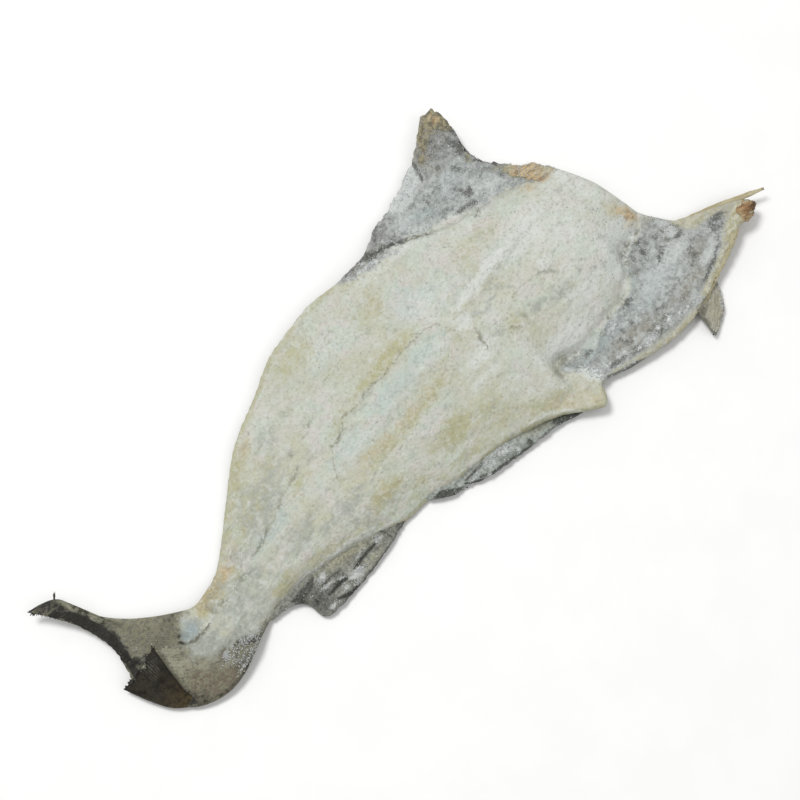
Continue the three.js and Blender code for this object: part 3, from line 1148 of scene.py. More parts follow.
# ---- The split body ------------------------------------------------------------------------------------
@dataclass(frozen=True)
class BodyForm:
    """Outline and relief of the split body with its tail."""

    tail_join: float = -240.0
    neck_end: float = 291.0
    back_line: float = 8.0
    flap_thick: float = 5.0
    least_flesh: float = 6.0
    rim_radius: float = 5.0
    rim_lean: float = 0.55
    rim_above: float = 0.55
    rim_least: float = 0.8
    left_edge: Points = (
        (-240, -240, 49.5), (-225, -225, 53), (-200, -200, 67), (-165, -165, 90), (-120, -120, 117),
        (-80, -80, 130), (-28, -28, 146), (20, 20, 148), (58, 58, 141), (92, 92, 139), (120, 123, 149),
        (152, 158, 154), (178, 192, 162), (194, 213, 172), (206, 237, 183), (214, 252, 179),
        (224, 252, 160), (230, 247, 148), (236, 241, 134), (242, 240, 121), (247, 244, 111), (254, 252, 98),
        (262, 263, 83), (272, 274, 72), (291, 276, 54),
    )  # fmt: skip
    right_edge: Points = (
        (-240, -240, -16), (-226, -226, -13), (-195, -195, -12), (-150, -150, -22), (-100, -100, -41),
        (-72, -72, -52), (-48, -48, -55), (-20, -20, -65), (30, 30, -76), (85, 87, -101),
        (106, 110, -121), (114, 121, -129), (121, 129, -124), (128, 136, -113), (160, 170, -126),
        (195, 235, -142), (212, 275, -138), (222, 305, -130), (231, 337, -123), (237, 358, -124),
        (241, 367, -116), (247, 350, -99), (256, 326, -83), (266, 309, -70), (279, 299, -50),
        (291, 292, -38),
    )  # fmt: skip
    sweep_body: float = 4.0
    sweep_neck: float = 1.7
    sweep: Rise = Rise(1.0, 266, 25)
    left_fold: Points = (
        (50, 152), (78, 141), (100, 137), (122, 126), (150, 106), (200, 84), (240, 72), (291, 58),
    )  # fmt: skip
    right_fold: Points = (
        (112, -96), (126, -66), (160, -77), (205, -76), (235, -66), (252, -48), (291, -44),
    )  # fmt: skip
    fold_width: float = 12.0
    corner: tuple[float, float, float, float] = (128, -85, -0.42, 10)  # x, y, slope, width
    loin: Points = (
        (-262, 10), (-225, 16), (-190, 18), (-120, 22), (0, 27), (120, 31), (230, 29), (291, 19),
    )  # fmt: skip
    edge_loss: float = 0.66
    edge_loss_power: float = 2.6
    tail_lower: Points = (
        (-240, -16), (-256, -21), (-274, -25), (-292, -25), (-310, -19), (-324, -9), (-332, 4),
    )  # fmt: skip
    tail_upper: Points = (
        (-240, 49.5), (-257, 49), (-272, 59), (-288, 73), (-302, 88), (-315, 107), (-323, 126),
        (-328, 147), (-340, 155), (-354, 160),
    )  # fmt: skip
    fork: Points = (
        (-332, 4), (-339, 26), (-342, 46), (-337.5, 60), (-331.5, 79), (-331.5, 95), (-335.5, 118),
        (-344, 139), (-354, 160),
    )  # fmt: skip
    stalk_thick: float = 18.0
    stalk_height: float = 9.5
    fan_height: float = 5.5
    fan_from: float = 0.82
    fan_thick: tuple[float, float] = (3.8, 2.4)
    belly_lift: float = 4.0
    fan_reach: float = 110.0
    fan_width: float = 100.0
    fan_rim: tuple[float, float] = (6.0, 2.5)
    stalk_blend: Rise = Rise(1.0, 205, 50)  # counted towards the tail
    fan_lift: Rise = Rise(7, 90, 75)
    tip_curl: Rise = Rise(5, 318, 20)  # counted towards the tail
    tip_curl_from: Rise = Rise(1, 60, 30)
    side_lift: Rise = Rise(9, 62, 95)
    flap_lift: Rise = Rise(9, 120, 70)
    flap_lift_from: Rise = Rise(1, 170, 70)
    neck_lift: Rise = Rise(9, 270, 90)
    stalk_lift: Rise = Rise(3.5, 215, 45)  # counted towards the tail
    edge_wave: float = 2.0
    edge_wave_length: float = 37.0
    edge_wave_from: Rise = Rise(1, 62, 50)
    right_wave_share: float = 0.5
    bed: tuple[float, float, float] = (3.2, 24, 13)  # depth, middle, width
    bed_from: Rise = Rise(1, 95, 60)
    ridge: tuple[float, float, float] = (2.4, 32, 14)  # height, middle, width
    ridge_from: Rise = Rise(1, -240, 60)
    ridge_until: Rise = Rise(1, -105, 60)  # counted towards the tail
    swell: tuple[Wave, ...] = (Wave(1.1, 31, 47), Wave(0.8, -67, 19))
    ruffle: tuple[Wave, ...] = (Wave(0.7, 9, 17), Wave(0.5, -23, 8))

    def __post_init__(self) -> None:
        """Prepares the curves."""
        for name in ("left_edge", "right_edge", "left_fold", "right_fold", "loin"):
            object.__setattr__(self, name + "_at", Profile(getattr(self, name)))
        for name in ("tail_lower", "tail_upper", "fork"):
            object.__setattr__(self, name + "_path", Path(getattr(self, name)))

    def flesh_share(self, x: Array, y: Array) -> Array:
        """How much of a place is flesh: 1 on the slab, 0 on the belly flaps.

        Args:
            x, y: places along the fish and across it.

        Returns:
            The shares.
        """
        left = smooth(0.5 + (self.left_fold_at.at(x) - y) / self.fold_width)
        left = np.where(x > self.left_fold[0][0], left, 1.0)
        corner_x, corner_y, slope, width = self.corner
        past = smooth((x - corner_x - slope * (y - corner_y)) / width)
        right = smooth(0.5 + (self.right_fold_at.at(x) - y) / self.fold_width)
        return left * (1 - past * right)

    def flesh_reach(self, x: Array, y: Array) -> Array:
        """Share of the way from the back line to the outer side of the flesh.

        Args:
            x, y: places along the fish and across it.

        Returns:
            The shares.
        """
        left = y > self.back_line
        edge = np.where(left, self.left_edge_at.at(x, 1), self.right_edge_at.at(x, 1))
        fold = np.where(left, self.left_fold_at.at(x), self.right_fold_at.at(x))
        beside = (x > self.left_fold[1][0]) & (np.abs(fold) < np.abs(edge))
        return clamp01(np.abs((y - self.back_line) / (np.where(beside, fold, edge) - self.back_line)))

    def thickness(self, x: Array, y: Array) -> Array:
        """Thickness of flesh or flap.

        Args:
            x, y: places along the fish and across it.

        Returns:
            The thicknesses.
        """
        kept = 1 - self.edge_loss * self.flesh_reach(x, y) ** self.edge_loss_power
        deep, middle, wide = self.bed
        bed = deep * np.exp(-(((y - middle) / wide) ** 2)) * self.bed_from.at(x)
        high, middle, wide = self.ridge
        ridge = np.exp(-(((y - middle) / wide) ** 4)) * self.ridge_from.at(x) * self.ridge_until.at(-x)
        swell = sum(wave.at(x, y) for wave in self.swell)
        flesh = np.maximum(self.least_flesh, self.loin_at.at(x) * kept - bed + high * ridge + swell)
        ruffle = sum(wave.at(x, y) for wave in self.ruffle)
        return mix(self.flap_thick + ruffle, flesh, self.flesh_share(x, y))

    def skin_height(self, x: Array, y: Array) -> Array:
        """Height of the skin above the floor.

        Args:
            x, y: places along the fish and across it.

        Returns:
            The heights.
        """
        across = np.abs(y - self.back_line)
        flap = self.flap_lift.at(y) * self.flap_lift_from.at(x)
        wavy = self.edge_wave_from.at(across) * np.where(y > 0, 1, self.right_wave_share)
        wave = self.edge_wave * np.sin(x / self.edge_wave_length) * wavy
        return self.side_lift.at(across) + flap + self.neck_lift.at(x) + self.stalk_lift.at(-x) + wave


@dataclass
class Body:
    """The split body and tail as one closed hide: flesh and linings above, skin below."""

    form: BodyForm = field(default_factory=BodyForm)
    cells: tuple[int, int] = (202, 95)
    tail_share: float = 0.17
    finish: HideFinish = field(default_factory=HideFinish)
    mark_level: float = 10.0
    eye: tuple[float, float, float] = (-267.0, -194.0, 1389.0)
    edge_crowding: float = 0.16
    torn_rim: Rise = Rise(1, 0.86, 0.14)
    tearing: float = 0.7
    left_tearing: Rise = Rise(2.6, 90, 60)
    left_tearing_from: Rise = Rise(1, 60, 60)
    neck_tearing: Rise = Rise(1.4, 280, 30)
    tears: Texture = Texture(0.9, 11, 6, 3)
    neck_slant: float = 1.2
    neck_slant_from: Rise = Rise(1, 234, 8)
    neck_slant_left_of: float = 75.0
    fork_torn: float = 0.015
    fork_rim: Rise = Rise(1, 0.8, 0.2)
    fork_fray: Texture = Texture(0.6, 12, 1.6, 2)
    jag: tuple[float, float] = (2.2, 2.6)
    jag_from: Rise = Rise(1, -260, 20)
    warp: tuple[Texture, Texture] = (Texture(3.5, 51, 12, 2), Texture(3.5, 52, 12, 2))
    near_warp: float = 0.35
    skin_warp: float = 0.6
    lumps: tuple[Texture, ...] = (Texture(0.9, 21, 24, 2), Texture(0.45, 22, 8, 3))
    pebble_height: float = 0.75
    pebbly: tuple[Blot, ...] = (Blot(150, 15, 90, 60), Blot(-40, 75, 90, 45, 0.7))
    fibre: Texture = Texture(0.18, 25, 2.6, 2)
    fibre_stretch: float = 0.35
    pleat_height: float = 1.3
    pleat_level: float = 0.7
    pleated: tuple[Blot, ...] = (Blot(190, 20, 100, 80), Blot(-20, 90, 110, 40, 0.4))
    wrinkle_height: float = 1.1
    wrinkle_level: float = 0.7
    lining_pebble_height: float = 0.8
    lining_grain: Texture = Texture(0.35, 35, 3, 2)
    crust_height: float = 0.3
    crumb_height: float = 1.7
    rays: int = 34
    ray_height: float = 0.12
    ray_drift: float = 2.0
    fan_grain: Texture = Texture(0.25, 37, 5, 2)
    fan_grain_from: Rise = Rise(1, 0.3, 0.4)
    crack_depth: float = 0.5
    lip_height: float = 0.5
    lip_spread: float = 3.6
    crease_depth: float = 1.8
    gaping: Texture = Texture(1.1, 45, 13, 2)
    crack_shade: float = 3.2
    cracks: tuple[Stroke, ...] = (
        *strokes(
            (0.9, 0.8, (-182, 36), (-168, 38), (-160, 43), (-148, 45)),
            (0.7, 0.6, (-150, 47), (-138, 49), (-128, 52)),
            (0.8, 0.7, (-126, 50), (-118, 54), (-108, 54), (-102, 58)),
            (0.8, 0.6, (-86, 22), (-80, 31), (-74, 38), (-66, 45)),
            (1.1, 1.0, (-72, 40), (-66, 47), (-60, 44), (-48, 47), (-42, 53)),
            (0.9, 0.8, (-46, 50), (-38, 56), (-30, 53), (-24, 49)),
            (1.1, 0.9, (-30, 52), (-18, 50), (-8, 53), (5, 54)),
            (1.0, 0.9, (0, 54), (12, 50), (25, 50), (42, 52)), (0.7, 0.6, (22, 55), (30, 50), (38, 47)),
            (1.1, 0.9, (36, 52), (60, 51), (75, 48), (82, 44)), (0.8, 0.7, (80, 46), (88, 38), (90, 26)),
            (1.4, 1.2, (96, -11), (100, -3), (102, 6), (105, 14)),
            (1.0, 0.7, (118, -6), (126, -9), (131, -19)),
            (1.4, 0.35, (118, 30), (135, 36), (160, 33), (185, 36), (222, 33)),
            (1.0, 0.5, (-30, 92), (-12, 88), (2, 92)), (1.0, 0.35, (60, -44), (72, -47), (90, -44)),
            (1.1, 0.5, (150, 2), (165, 5), (178, 2)),
        ),
        *ShortCracks(seed=43, count=46).draw(),
    )
    creases: tuple[Stroke, ...] = (
        Stroke(((56, 145), (72, 140), (88, 137), (108, 131), (122, 125), (138, 115), (155, 102)), 2.0, 1.0),
        Stroke(((155, 102), (175, 93), (198, 84), (222, 76)), 1.6, 0.45),
    )
    lining_left: Points = (
        (48, 151), (54, 143), (67, 133), (83, 127), (103, 122), (122, 121), (136, 117), (151, 108),
        (173, 103), (193, 90), (210, 81), (232, 74), (248, 64), (263, 55), (276, 51),
    )  # fmt: skip
    lining_right: Field = Field(
        ((304, -42), (288, -48), (272, -51), (258, -54), (247, -61), (241, -70), (235, -80), (215, -79),
         (198, -82), (181, -83), (160, -85), (146, -81), (133, -73), (121, -72), (124, -81), (135, -90),
         (142, -110), (150, -200), (420, -200), (420, -42)), 12.0,
    )  # fmt: skip
    tail_skin: Field = Field(
        ((-258, 58), (-264, 50), (-274, 50), (-281, 44), (-287, 36), (-290, 20), (-284, 10), (-275, 4),
         (-262, 2), (-250, -3), (-238, -9), (-224, -8.5), (-206, -8), (-199, -12), (-184, -13), (-172, -15),
         (-160, -19), (-150, -60), (-420, -60), (-420, 220), (-250, 220)), 20.0,
    )  # fmt: skip
    cream: tuple[Mark, ...] = (
        *blots(
            (292, -47, 12, 6, 0.5, -20), (251, 85, 7, 5, 0.75, 40), (273, 56, 7, 7, 0.8),
            (267, 64, 4, 5, 0.4),
        ),
        Stroke(((176, -124), (196, -132), (218, -137.5), (240, -140), (262, -141)), 4.6, 1.0),
        Stroke(((146, -111), (160, -117), (176, -122)), 1.6, 0.7),
        Field(
            ((262, -133), (288, -128), (305, -124), (317, -120), (327, -113), (336, -110), (345, -104),
            (352, -100), (372, -104), (372, -132), (322, -134), (272, -150)), 5.0,
        ),
        Field(
            ((302, -64), (320, -75), (345, -89), (374, -107), (352, -101), (340, -96), (326, -92),
            (314, -91), (308, -84)), 5.0, 0.9,
        ),
    )  # fmt: skip
    pale: tuple[Mark, ...] = (
        *blots(
            (-330, 124, 3, 3, 0.5), (-318, 62, 4, 6, 0.5), (-323, 108, 2, 5, 0.4), (-250, 20, 20, 8, 0.3),
            (225, 90, 22, 12, 0.7, -30), (150, 116, 14, 5, 0.8, -30), (128, 116, 22, 3.5, 0.9, -12),
            (285, -88, 22, 8, 0.7, -8), (297, -70, 6, 9, 0.7), (303, -114, 14, 4, 0.7, 15),
            (255, -90, 34, 10, 0.4), (205, 128, 30, 12, 0.3, -10), (148, 134, 16, 8, 0.4),
        ),
        *strokes(
            (4.0, 0.9, (-329, 150), (-326, 132), (-320, 113), (-309, 98), (-296, 82)),
            (8.0, 1.2, (-302, 44), (-304, 30), (-308, 14)),
            (6.0, 0.7, (-292, 30), (-293, 18), (-288, 7), (-278, -2), (-268, -7)),
        ),
        Field(((199, 165), (140, 151), (146, 142), (164, 136), (190, 146)), 7.0, 0.85),
        Field(((-288, 34), (-300, 42), (-308, 20), (-310, 10), (-298, 16), (-290, 20)), 9.0, 0.8),
    )  # fmt: skip
    bloom: tuple[Mark, ...] = (
        *blots(
            (175, 39, 80, 7, 1.2), (245, -54, 38, 11, 1.1, 6), (150, -60, 42, 12, 1.0, -6),
            (185, 100, 34, 7, 0.9, -26), (128, 118, 26, 8, 0.9, -14), (228, 10, 46, 24, 0.5),
            (92, -8, 22, 12, 0.7), (70, -24, 26, 8, 0.6), (10, 150, 60, 5, 0.7), (-150, 108, 30, 7, 0.6, 30),
            (96, 60, 34, 24, 0.5), (278, 20, 12, 30, 0.6), (-60, 26, 60, 6, 0.5), (60, 26, 80, 6, 0.5),
            # The patch at (262, -33) is salt bloom and partly painted light, lifting the neck slope that the
            # lamps shade.
            (205, 28, 40, 8, 0.7), (262, -33, 26, 12, 1.2), (200, 2, 12, 8, 0.8),
            (152, -72, 20, 8, 1.0, -10), (102, 25, 14, 8, 0.9), (100, -74, 30, 10, 0.6, -30),
            (88, -50, 26, 10, 0.5, -20), (277, 44, 8, 10), (205, -20, 36, 14, 0.5), (180, 84, 20, 10, 0.5),
            (202, -46, 34, 14, 0.75), (116, -112, 8, 6, 0.45),
        ),
        Stroke(((222, -80), (205, -83), (180, -86), (155, -88)), 8.0, 0.85),
        Stroke(((238, -50), (252, -48), (266, -45), (280, -42)), 6.0, 1.2),
    )  # fmt: skip
    livid: tuple[Mark, ...] = (
        *blots(
            (238, 137, 7, 12), (215, 138, 34, 10, 0.5), (117, 139, 17, 8, 1.0, 12),
            (250, 96, 8, 10, 0.6, -50), (345, -99, 9, 7, 0.9, -30), (300, -100, 16, 9, 0.7),
            (195, -108, 34, 10, 0.7, -12), (288, -50, 10, 6, 0.6), (240, -120, 30, 8, 0.5),
            (90, 138, 20, 4, 0.8), (-275, 37, 9, 11, 0.9), (-282, 40, 5, 9), (-155, 38, 30, 6, 0.35, 4),
        ),
        Stroke(((246, -62), (240, -70), (233, -80), (222, -84)), 9.0, 0.75),
        Field(
            ((200, 166), (232, 184), (256, 184), (254, 160), (247, 146), (232, 147), (214, 148),
            (198, 152)), 12.0, 1.0,
        ),
    )
    umber: tuple[Mark, ...] = (
        *blots(
            (-275, 2, 12, 8, 0.7), (-340, 150, 10, 6, 0.7), (-322, 2, 6, 12, 0.6),
        ),
        Field(
            ((-304, 14), (-292, 6), (-280, -5), (-270, -18), (-280, -26), (-300, -24), (-320, -8),
            (-312, 10)), 14.0, 1.0,
        ),
    )  # fmt: skip
    grey: tuple[Mark, ...] = (
        *blots(
            (-225, 20, 44, 30, 0.75), (-150, 60, 54, 20, 0.75, 20), (-274, 15, 16, 14, 1.2),
            (-274, 36, 13, 12, 1.2), (-284, 40, 7, 12, 1.2), (-90, -24, 50, 14, 0.5, -18),
            (-120, -28, 26, 6, 0.7, -20), (-281, 18, 14, 18, 1.6), (-262, 3, 26, 8, 1.2),
            (-235, -2, 20, 8, 0.8), (-150, -8, 40, 10, 0.3, -10), (-120, 82, 34, 16, 0.35),
            (185, 22, 34, 7, 0.35), (-252, 2, 20, 8, 0.9), (-125, 50, 16, 8, 0.5), (-100, 100, 16, 8, 0.6),
            (-112, 0, 48, 9, 0.75, -4), (-152, 14, 26, 15, 0.8), (-162, 74, 28, 10, 0.6, 25),
            (-175, 48, 34, 12, 0.6, 10), (180, -28, 24, 8, 0.8, -20), (160, -21, 11, 6, 0.8),
        ),
        *strokes(
            (2.0, 0.5, (-160, -17), (-140, -24), (-118, -30), (-100, -36)),
            (2.0, 0.4, (-22, -63), (5, -66), (32, -70), (56, -80), (80, -92)),
            (6.0, 0.4, (-205, 38), (-180, 42), (-150, 49), (-100, 55), (-60, 48), (0, 52), (80, 46)),
            (4.0, 0.9, (112, 22), (126, 16), (141, 17)), (3.0, 0.9, (107, -3), (116, -8), (123, -11)),
            (4.0, 0.8, (142, 28), (150, 20), (160, 12)), (4.0, 0.8, (188, -33), (201, -41)),
            (3.0, 0.8, (158, 31), (180, 33), (216, 33)), (5.0, 0.6, (214, 15), (234, 15), (242, 9)),
            (4.0, 0.6, (176, 20), (192, 21), (204, 16)), (3.0, 0.8, (184, -1), (193, -7), (199, -14)),
        ),
    )  # fmt: skip
    amber: tuple[Mark, ...] = blots(
        (-42, 11, 30, 8, 0.65), (26, 8, 46, 9, 0.5, 3), (62, 18, 16, 6, 0.4, 8),
        (-118, 108, 18, 7, 0.35, 25), (94, -92, 30, 9, 0.6, -35), (118, -108, 12, 12, 0.5),
        (-236, 44, 26, 8, 1.5, 5), (279, -22, 6, 20, 0.9), (-66, -18, 20, 7, 0.35),
        (-150, -10, 40, 6, 0.3, -14), (-196, 0, 16, 7, 0.4), (66, 100, 10, 8, 0.3),
        (250, 60, 12, 5, 0.4, -20),
    )  # fmt: skip
    honey: tuple[Mark, ...] = (
        *blots(
            (195, -111, 36, 9, 1.0, -14), (292, -76, 10, 12, 0.8), (262, -118, 30, 8, 0.8),
            (205, 150, 8, 16, 0.9, 20), (296, -104, 16, 8, 0.7), (98, 131, 24, 6, 0.8, -14),
            (24, 58, 46, 7, 1.15), (-40, 56, 20, 6, 0.6, 10), (0, 4, 80, 8, 0.7), (60, 14, 30, 8, 0.4, 8),
            (15, -34, 28, 14, 0.9), (50, -44, 24, 12, 0.6), (-70, -22, 24, 11), (-45, -40, 22, 10, 0.6),
            (130, -12, 16, 9, 0.5), (56, 100, 26, 14, 0.5), (-25, 128, 32, 14, 0.6),
            (-122, 106, 22, 8, 0.6, 25), (-118, 80, 16, 16, 0.5), (-165, 80, 26, 12, 0.7, 25),
            (-110, 45, 18, 8, 0.6), (-195, 55, 22, 10, 0.5, 20), (-158, 64, 34, 12, 0.75, 12),
            (60, -62, 50, 12, 0.5, -18), (172, 64, 38, 13, 0.55, -4), (165, 20, 22, 8, 0.35),
            (195, -12, 30, 14, 0.4), (-190, -2, 16, 8, 0.9), (92, -82, 42, 14, 0.55, -33),
            (114, -114, 18, 14, 0.55), (86, -95, 24, 8, 0.3, -33), (150, -36, 26, 10, 0.2),
            (-212, 36, 8, 6, 0.9), (-140, 10, 30, 12, 0.4), (218, -50, 18, 8, 0.25),
            (-242, 42, 22, 9, 1.4, 3), (-60, 100, 18, 12, 0.3), (5, -58, 50, 6, 0.6, -8),
            (-150, -10, 26, 6, 0.6, -16), (-120, -22, 60, 5, 0.5, -22), (240, 62, 14, 8, 0.4),
        ),
        Stroke(((-222, 54), (-190, 74), (-160, 90), (-130, 105)), 12.0, 0.75),
    )  # fmt: skip
    sea: tuple[Mark, ...] = blots(
        (240, -92, 34, 14), (165, -86, 34, 9, 1.1, -8), (205, 122, 24, 12, 0.9),
        (160, 121, 24, 8, 1.0, -20), (272, -92, 20, 8, 0.6), (228, 98, 14, 8, 0.7, -30),
        (-262, 39, 12, 8, 0.8), (-240, 10, 16, 10, 0.3), (-160, 38, 36, 8, 0.8), (-55, 32, 36, 11, 0.8),
        (22, 35, 56, 12, 0.95), (88, 76, 34, 20, 0.8, -10), (-8, 104, 26, 14, 0.6),
        (245, -48, 24, 7, 0.8), (240, 60, 26, 8, 0.5, -14), (102, -14, 22, 14, 0.5),
        (188, 36, 44, 12, 0.4), (-20, 102, 24, 12, 0.3), (120, 50, 30, 14, 0.5), (15, -10, 40, 10, 0.3),
        (-225, 15, 24, 12, 0.4),
    )  # fmt: skip
    rust: tuple[Mark, ...] = (
        *blots(
            (247, 173, 8, 11, 0.85, 10), (237, 124, 6, 7, 0.6), (244, 95, 6, 9, 0.5, 30),
            (204, 156, 6, 8, 0.4), (285, -30, 6, 12), (276, -38, 6, 4, 0.5), (215, 172, 14, 4, 0.5, 30),
            (-238, 44, 15, 4, 0.3, 5), (-215, 48, 12, 5, 0.4, 40), (-118, 108, 10, 4, 0.3, 20),
            (251, 58, 10, 5, 0.5), (124, -118, 10, 7, 0.3), (-8, 10, 16, 4, 0.25),
        ),
        Field(((244, 91), (256, 90), (267, 80), (277, 68), (280, 50), (262, 52), (252, 66)), 7.0, 1.1),
        Field(
            ((196, 156), (240, 192), (258, 186), (257, 160), (248, 154), (240, 162), (222, 164),
            (204, 150)), 8.0, 0.64,
        ),
    )  # fmt: skip
    crusts: tuple[Mark, ...] = (
        *blots(
            (287, -32, 5, 12, 0.8), (117, 139, 17, 9, 0.9, 12), (240, 140, 8, 24, 0.7, 5),
            (-258, -9, 22, 9, 0.5, 5),
        ),
        Stroke(((180, -121), (198, -121), (224, -125), (244, -131)), 5.0, 0.7),
        Field(((244, 91), (256, 90), (267, 80), (277, 68), (280, 50), (264, 54), (254, 66)), 5.0, 1.2),
        Field(((228, 176), (242, 190), (258, 184), (256, 164), (246, 158), (234, 164)), 6.0, 1.0),
        Field(((134, -88), (146, -96), (154, -106), (140, -111)), 6.0, 1.0),
    )  # fmt: skip
    char_and_shade: tuple[Mark, ...] = (
        *blots(
            (-300, 50, 16, 12, 0.25), (215, -83, 7, 4, 1.3, -20), (184, -108, 5, 4),
            (229, -112, 7, 4, 0.9, -15), (247, -131, 6, 2.5), (208, -117, 6, 2.5, 0.8, -10),
            (262, -72, 5, 3, 0.7, 30), (283, -66, 4, 4, 0.8), (-331, 131, 3, 4, 0.9),
            (-325, 117, 2.5, 4, 0.9), (-334, 146, 4, 2, 0.9), (-140, 48, 3, 3, 0.5),
            (-142, 38, 4, 2, 0.5, -30), (-97, 70, 4, 3, 0.4, 20), (-65, 76, 5, 3, 0.5, -20),
            (-70, 99, 6, 3, 0.35), (-208, 31, 8, 3, 0.8, -15), (-250, 36, 3, 8, 0.6, 20),
            (143, -17, 2.5, 4, 0.6, 30), (222, -39, 4, 2.5, 0.6), (232, -43, 5, 2.5, 0.4),
            (251, -26, 3, 4, 0.5), (-240, 44, 18, 6, 0.4, 3), (-200, 48, 11, 8, 0.3), (102, 124, 3, 3),
            (110, 122, 4, 2, 0.9, -20), (84, 134, 8, 2, 0.6, -10), (126, 130, 5, 3, 0.7),
            (203, 90, 5, 3, 1.2, -25), (184, 107, 6, 2, 0.8), (175, 127, 3, 5), (186, 127, 12, 4, 0.6),
            (219, 125, 3, 6, 1.0, 30), (222, 117, 5, 2, 0.9), (163, 134, 6, 3, 0.5), (209, 140, 2.5, 4, 1.1),
            (228, 103, 9, 4, 0.6, 20), (225, 162, 5, 4, 1.1, -30), (219, 166, 4, 2, 0.9),
            (214, 151, 14, 6, 0.6, 10), (226, 154, 20, 16, 0.45, 20), (236, 178, 5, 4, 0.8),
            (246, 168, 3, 7, 0.7, -20), (208, 168, 8, 3, 0.4, 30), (243, 184, 6, 2, 0.5, -20),
            (232, 166, 14, 5, 0.5, -60), (249, 154, 5, 7, 1.4), (240, 160, 8, 5, 0.6, -50),
            (241, 88, 3.5, 3, 1.2), (240, 72, 5, 2, 0.6, 20), (226, 78, 6, 3, 0.5), (215, 90, 5, 5, 0.5),
            (250, -52, 4, 3, 1.2), (246, -60, 4, 3, 1.2), (253, -62, 4, 3), (260, -49, 5, 3, 1.2),
            (267, -55, 4, 4, 1.3), (264, -66, 3, 6, 1.3), (240, -70, 4, 4, 0.9), (256, -56, 10, 8, 0.5),
            (250, -72, 10, 4, 0.4), (272, -62, 3, 4, 0.9), (299, -81, 7, 2.6, 1.5, -5),
            (289, -77, 3, 4, 1.2), (291, -68, 3, 3, 0.8), (275, -48, 4, 3, 0.9), (291, -103, 5, 7, 0.9, 30),
            (303, -94, 6, 3, 0.8), (284, -109, 7, 3, 0.8), (296, -98, 4, 3, 0.7), (310, -98, 5, 3, 0.6, -30),
            (334, -98, 8, 4, 1.7, -8), (325, -103, 5, 4, 1.4, 40), (342, -102, 4, 4, 1.3),
            (331, -107, 7, 3, 0.9), (277, -130, 3, 4, 1.3), (214, -76, 4, 2.5, 0.9),
            (150, -84, 9, 3, 0.9, -20), (176, -84, 7, 3, 0.8), (191, -79, 4, 3, 0.8), (200, -98, 4, 4),
            (190, -97, 3, 3, 0.8), (222, -121, 10, 6, 0.7), (210, -126, 8, 4, 0.8), (252, -124, 12, 4, 0.5),
            (184, -118, 6, 5), (165, -95, 12, 9, 0.35), (132, -72, 9, 5, 0.7, -30),
            (144, -78, 8, 4, 0.7, -40), (120, -76, 4, 7, 0.5), (-266, -18, 16, 4, 0.5, -5),
            (-255, -3, 9, 2.5, 0.8, -15), (-247, -11, 8, 4, 0.8, -30), (-258, -12, 22, 11, 0.2),
            (-322, 128, 6, 28, 0.6, -16), (-317, 100, 7, 24, 0.4, -16), (-268, -9, 4, 3, 0.4),
            (-242, -17, 7, 2, 0.6, 10), (-298, -14, 30, 10, 0.12), (-318, 66, 8, 18, 0.25),
            (-278, 58, 14, 5, 0.35, 35), (-340, 153, 14, 8, 0.75, -20), (-336, 140, 8, 8, 0.8),
            (-285, 42, 6, 2.5, 0.6, -40), (-284, 62, 12, 3, 0.35, 40), (-326, 56, 6, 5, 0.9),
            (-322, 88, 4, 12, 0.7), (-318, 54, 5, 3, 0.6), (-278, 0, 12, 6, 0.35), (-252, 3, 14, 6, 0.3),
            (-322, 0, 8, 14, 0.8, 20), (-314, -12, 10, 6, 0.5, 30), (-270, 4, 8, 4, 0.3),
        ),
        *strokes(
            (2.2, 0.65, (-191, 37), (-178, 38), (-168, 40), (-161, 43)),
            (2.0, 0.5, (-122, 52), (-112, 54), (-101, 58)), (2.2, 0.8, (-243, 33), (-234, 30)),
            (1.6, 0.8, (94, -11), (98, -3), (101, 4), (105, 13)), (2.0, 0.6, (119, 3), (124, -4)),
            (2.0, 0.7, (125, -11), (129, -16), (132, -21)), (1.8, 0.4, (185, -1), (192, -6), (198, -13)),
            (2.0, 0.4, (-66, 43), (-52, 47), (-42, 52)), (2.2, 1.5, (68, 140), (84, 140), (97, 138),
            (105, 132), (115, 128), (128, 121), (141, 112), (154, 102)),
            (2.4, 1.1, (110, 139), (118, 146), (128, 147)),
            (2.4, 1.4, (203, 114), (205, 107), (204, 101), (211, 102), (214, 105)),
            (3.2, 1.5, (205, 97), (209, 100), (213, 103)),
            (2.6, 1.3, (184, 98), (191, 95), (199, 91), (206, 88)),
            (2.2, 1.3, (190, 82), (196, 80), (201, 84)),
            (2.6, 1.3, (199, 163), (195, 155), (191, 146), (189, 142)),
            (3.2, 1.3, (255, 182), (254, 172), (252, 162)), (3.4, 1.4, (251, 152), (247, 143), (242, 134)),
            (2.0, 1.5, (236, 119), (241, 112), (246, 103), (251, 95), (256, 88)),
            (2.0, 1.1, (250, 78), (256, 69), (263, 61), (272, 54)),
            (2.4, 1.4, (264, -83), (270, -80), (276, -78), (280, -75)),
            (2.0, 1.8, (302, -68), (303.5, -72), (304, -78)),
            (2.8, 1.5, (278, -129), (286, -125), (296, -124), (304, -121)),
            (1.6, 1.1, (304, -121), (314, -117), (320, -111), (326, -107)),
            (2.2, 1.4, (246, -140), (262, -139), (276, -137)),
            (2.2, 1.1, (206, -84), (212, -86), (220, -84)), (2.4, 1.1, (181, -99), (183, -105), (186, -108)),
            (2.6, 1.1, (152, -108), (164, -112), (172, -114)),
            (1.7, 1.9, (139, -109), (150, -115), (162, -121), (174, -127), (188, -133)),
            (1.5, 0.6, (190, -133), (206, -136), (224, -139), (240, -140)),
            (3.0, 0.5, (-236, -17), (-259, -22), (-279, -25), (-298, -22), (-316, -14), (-328, -3)),
            (1.8, 1.1, (-236, -15), (-215, -14), (-204, -17), (-194, -20)), (5.0, 1.9, (-333, 54),
            (-330, 66), (-327, 78), (-326, 92), (-327, 106), (-330, 122), (-335, 134), (-343, 144)),
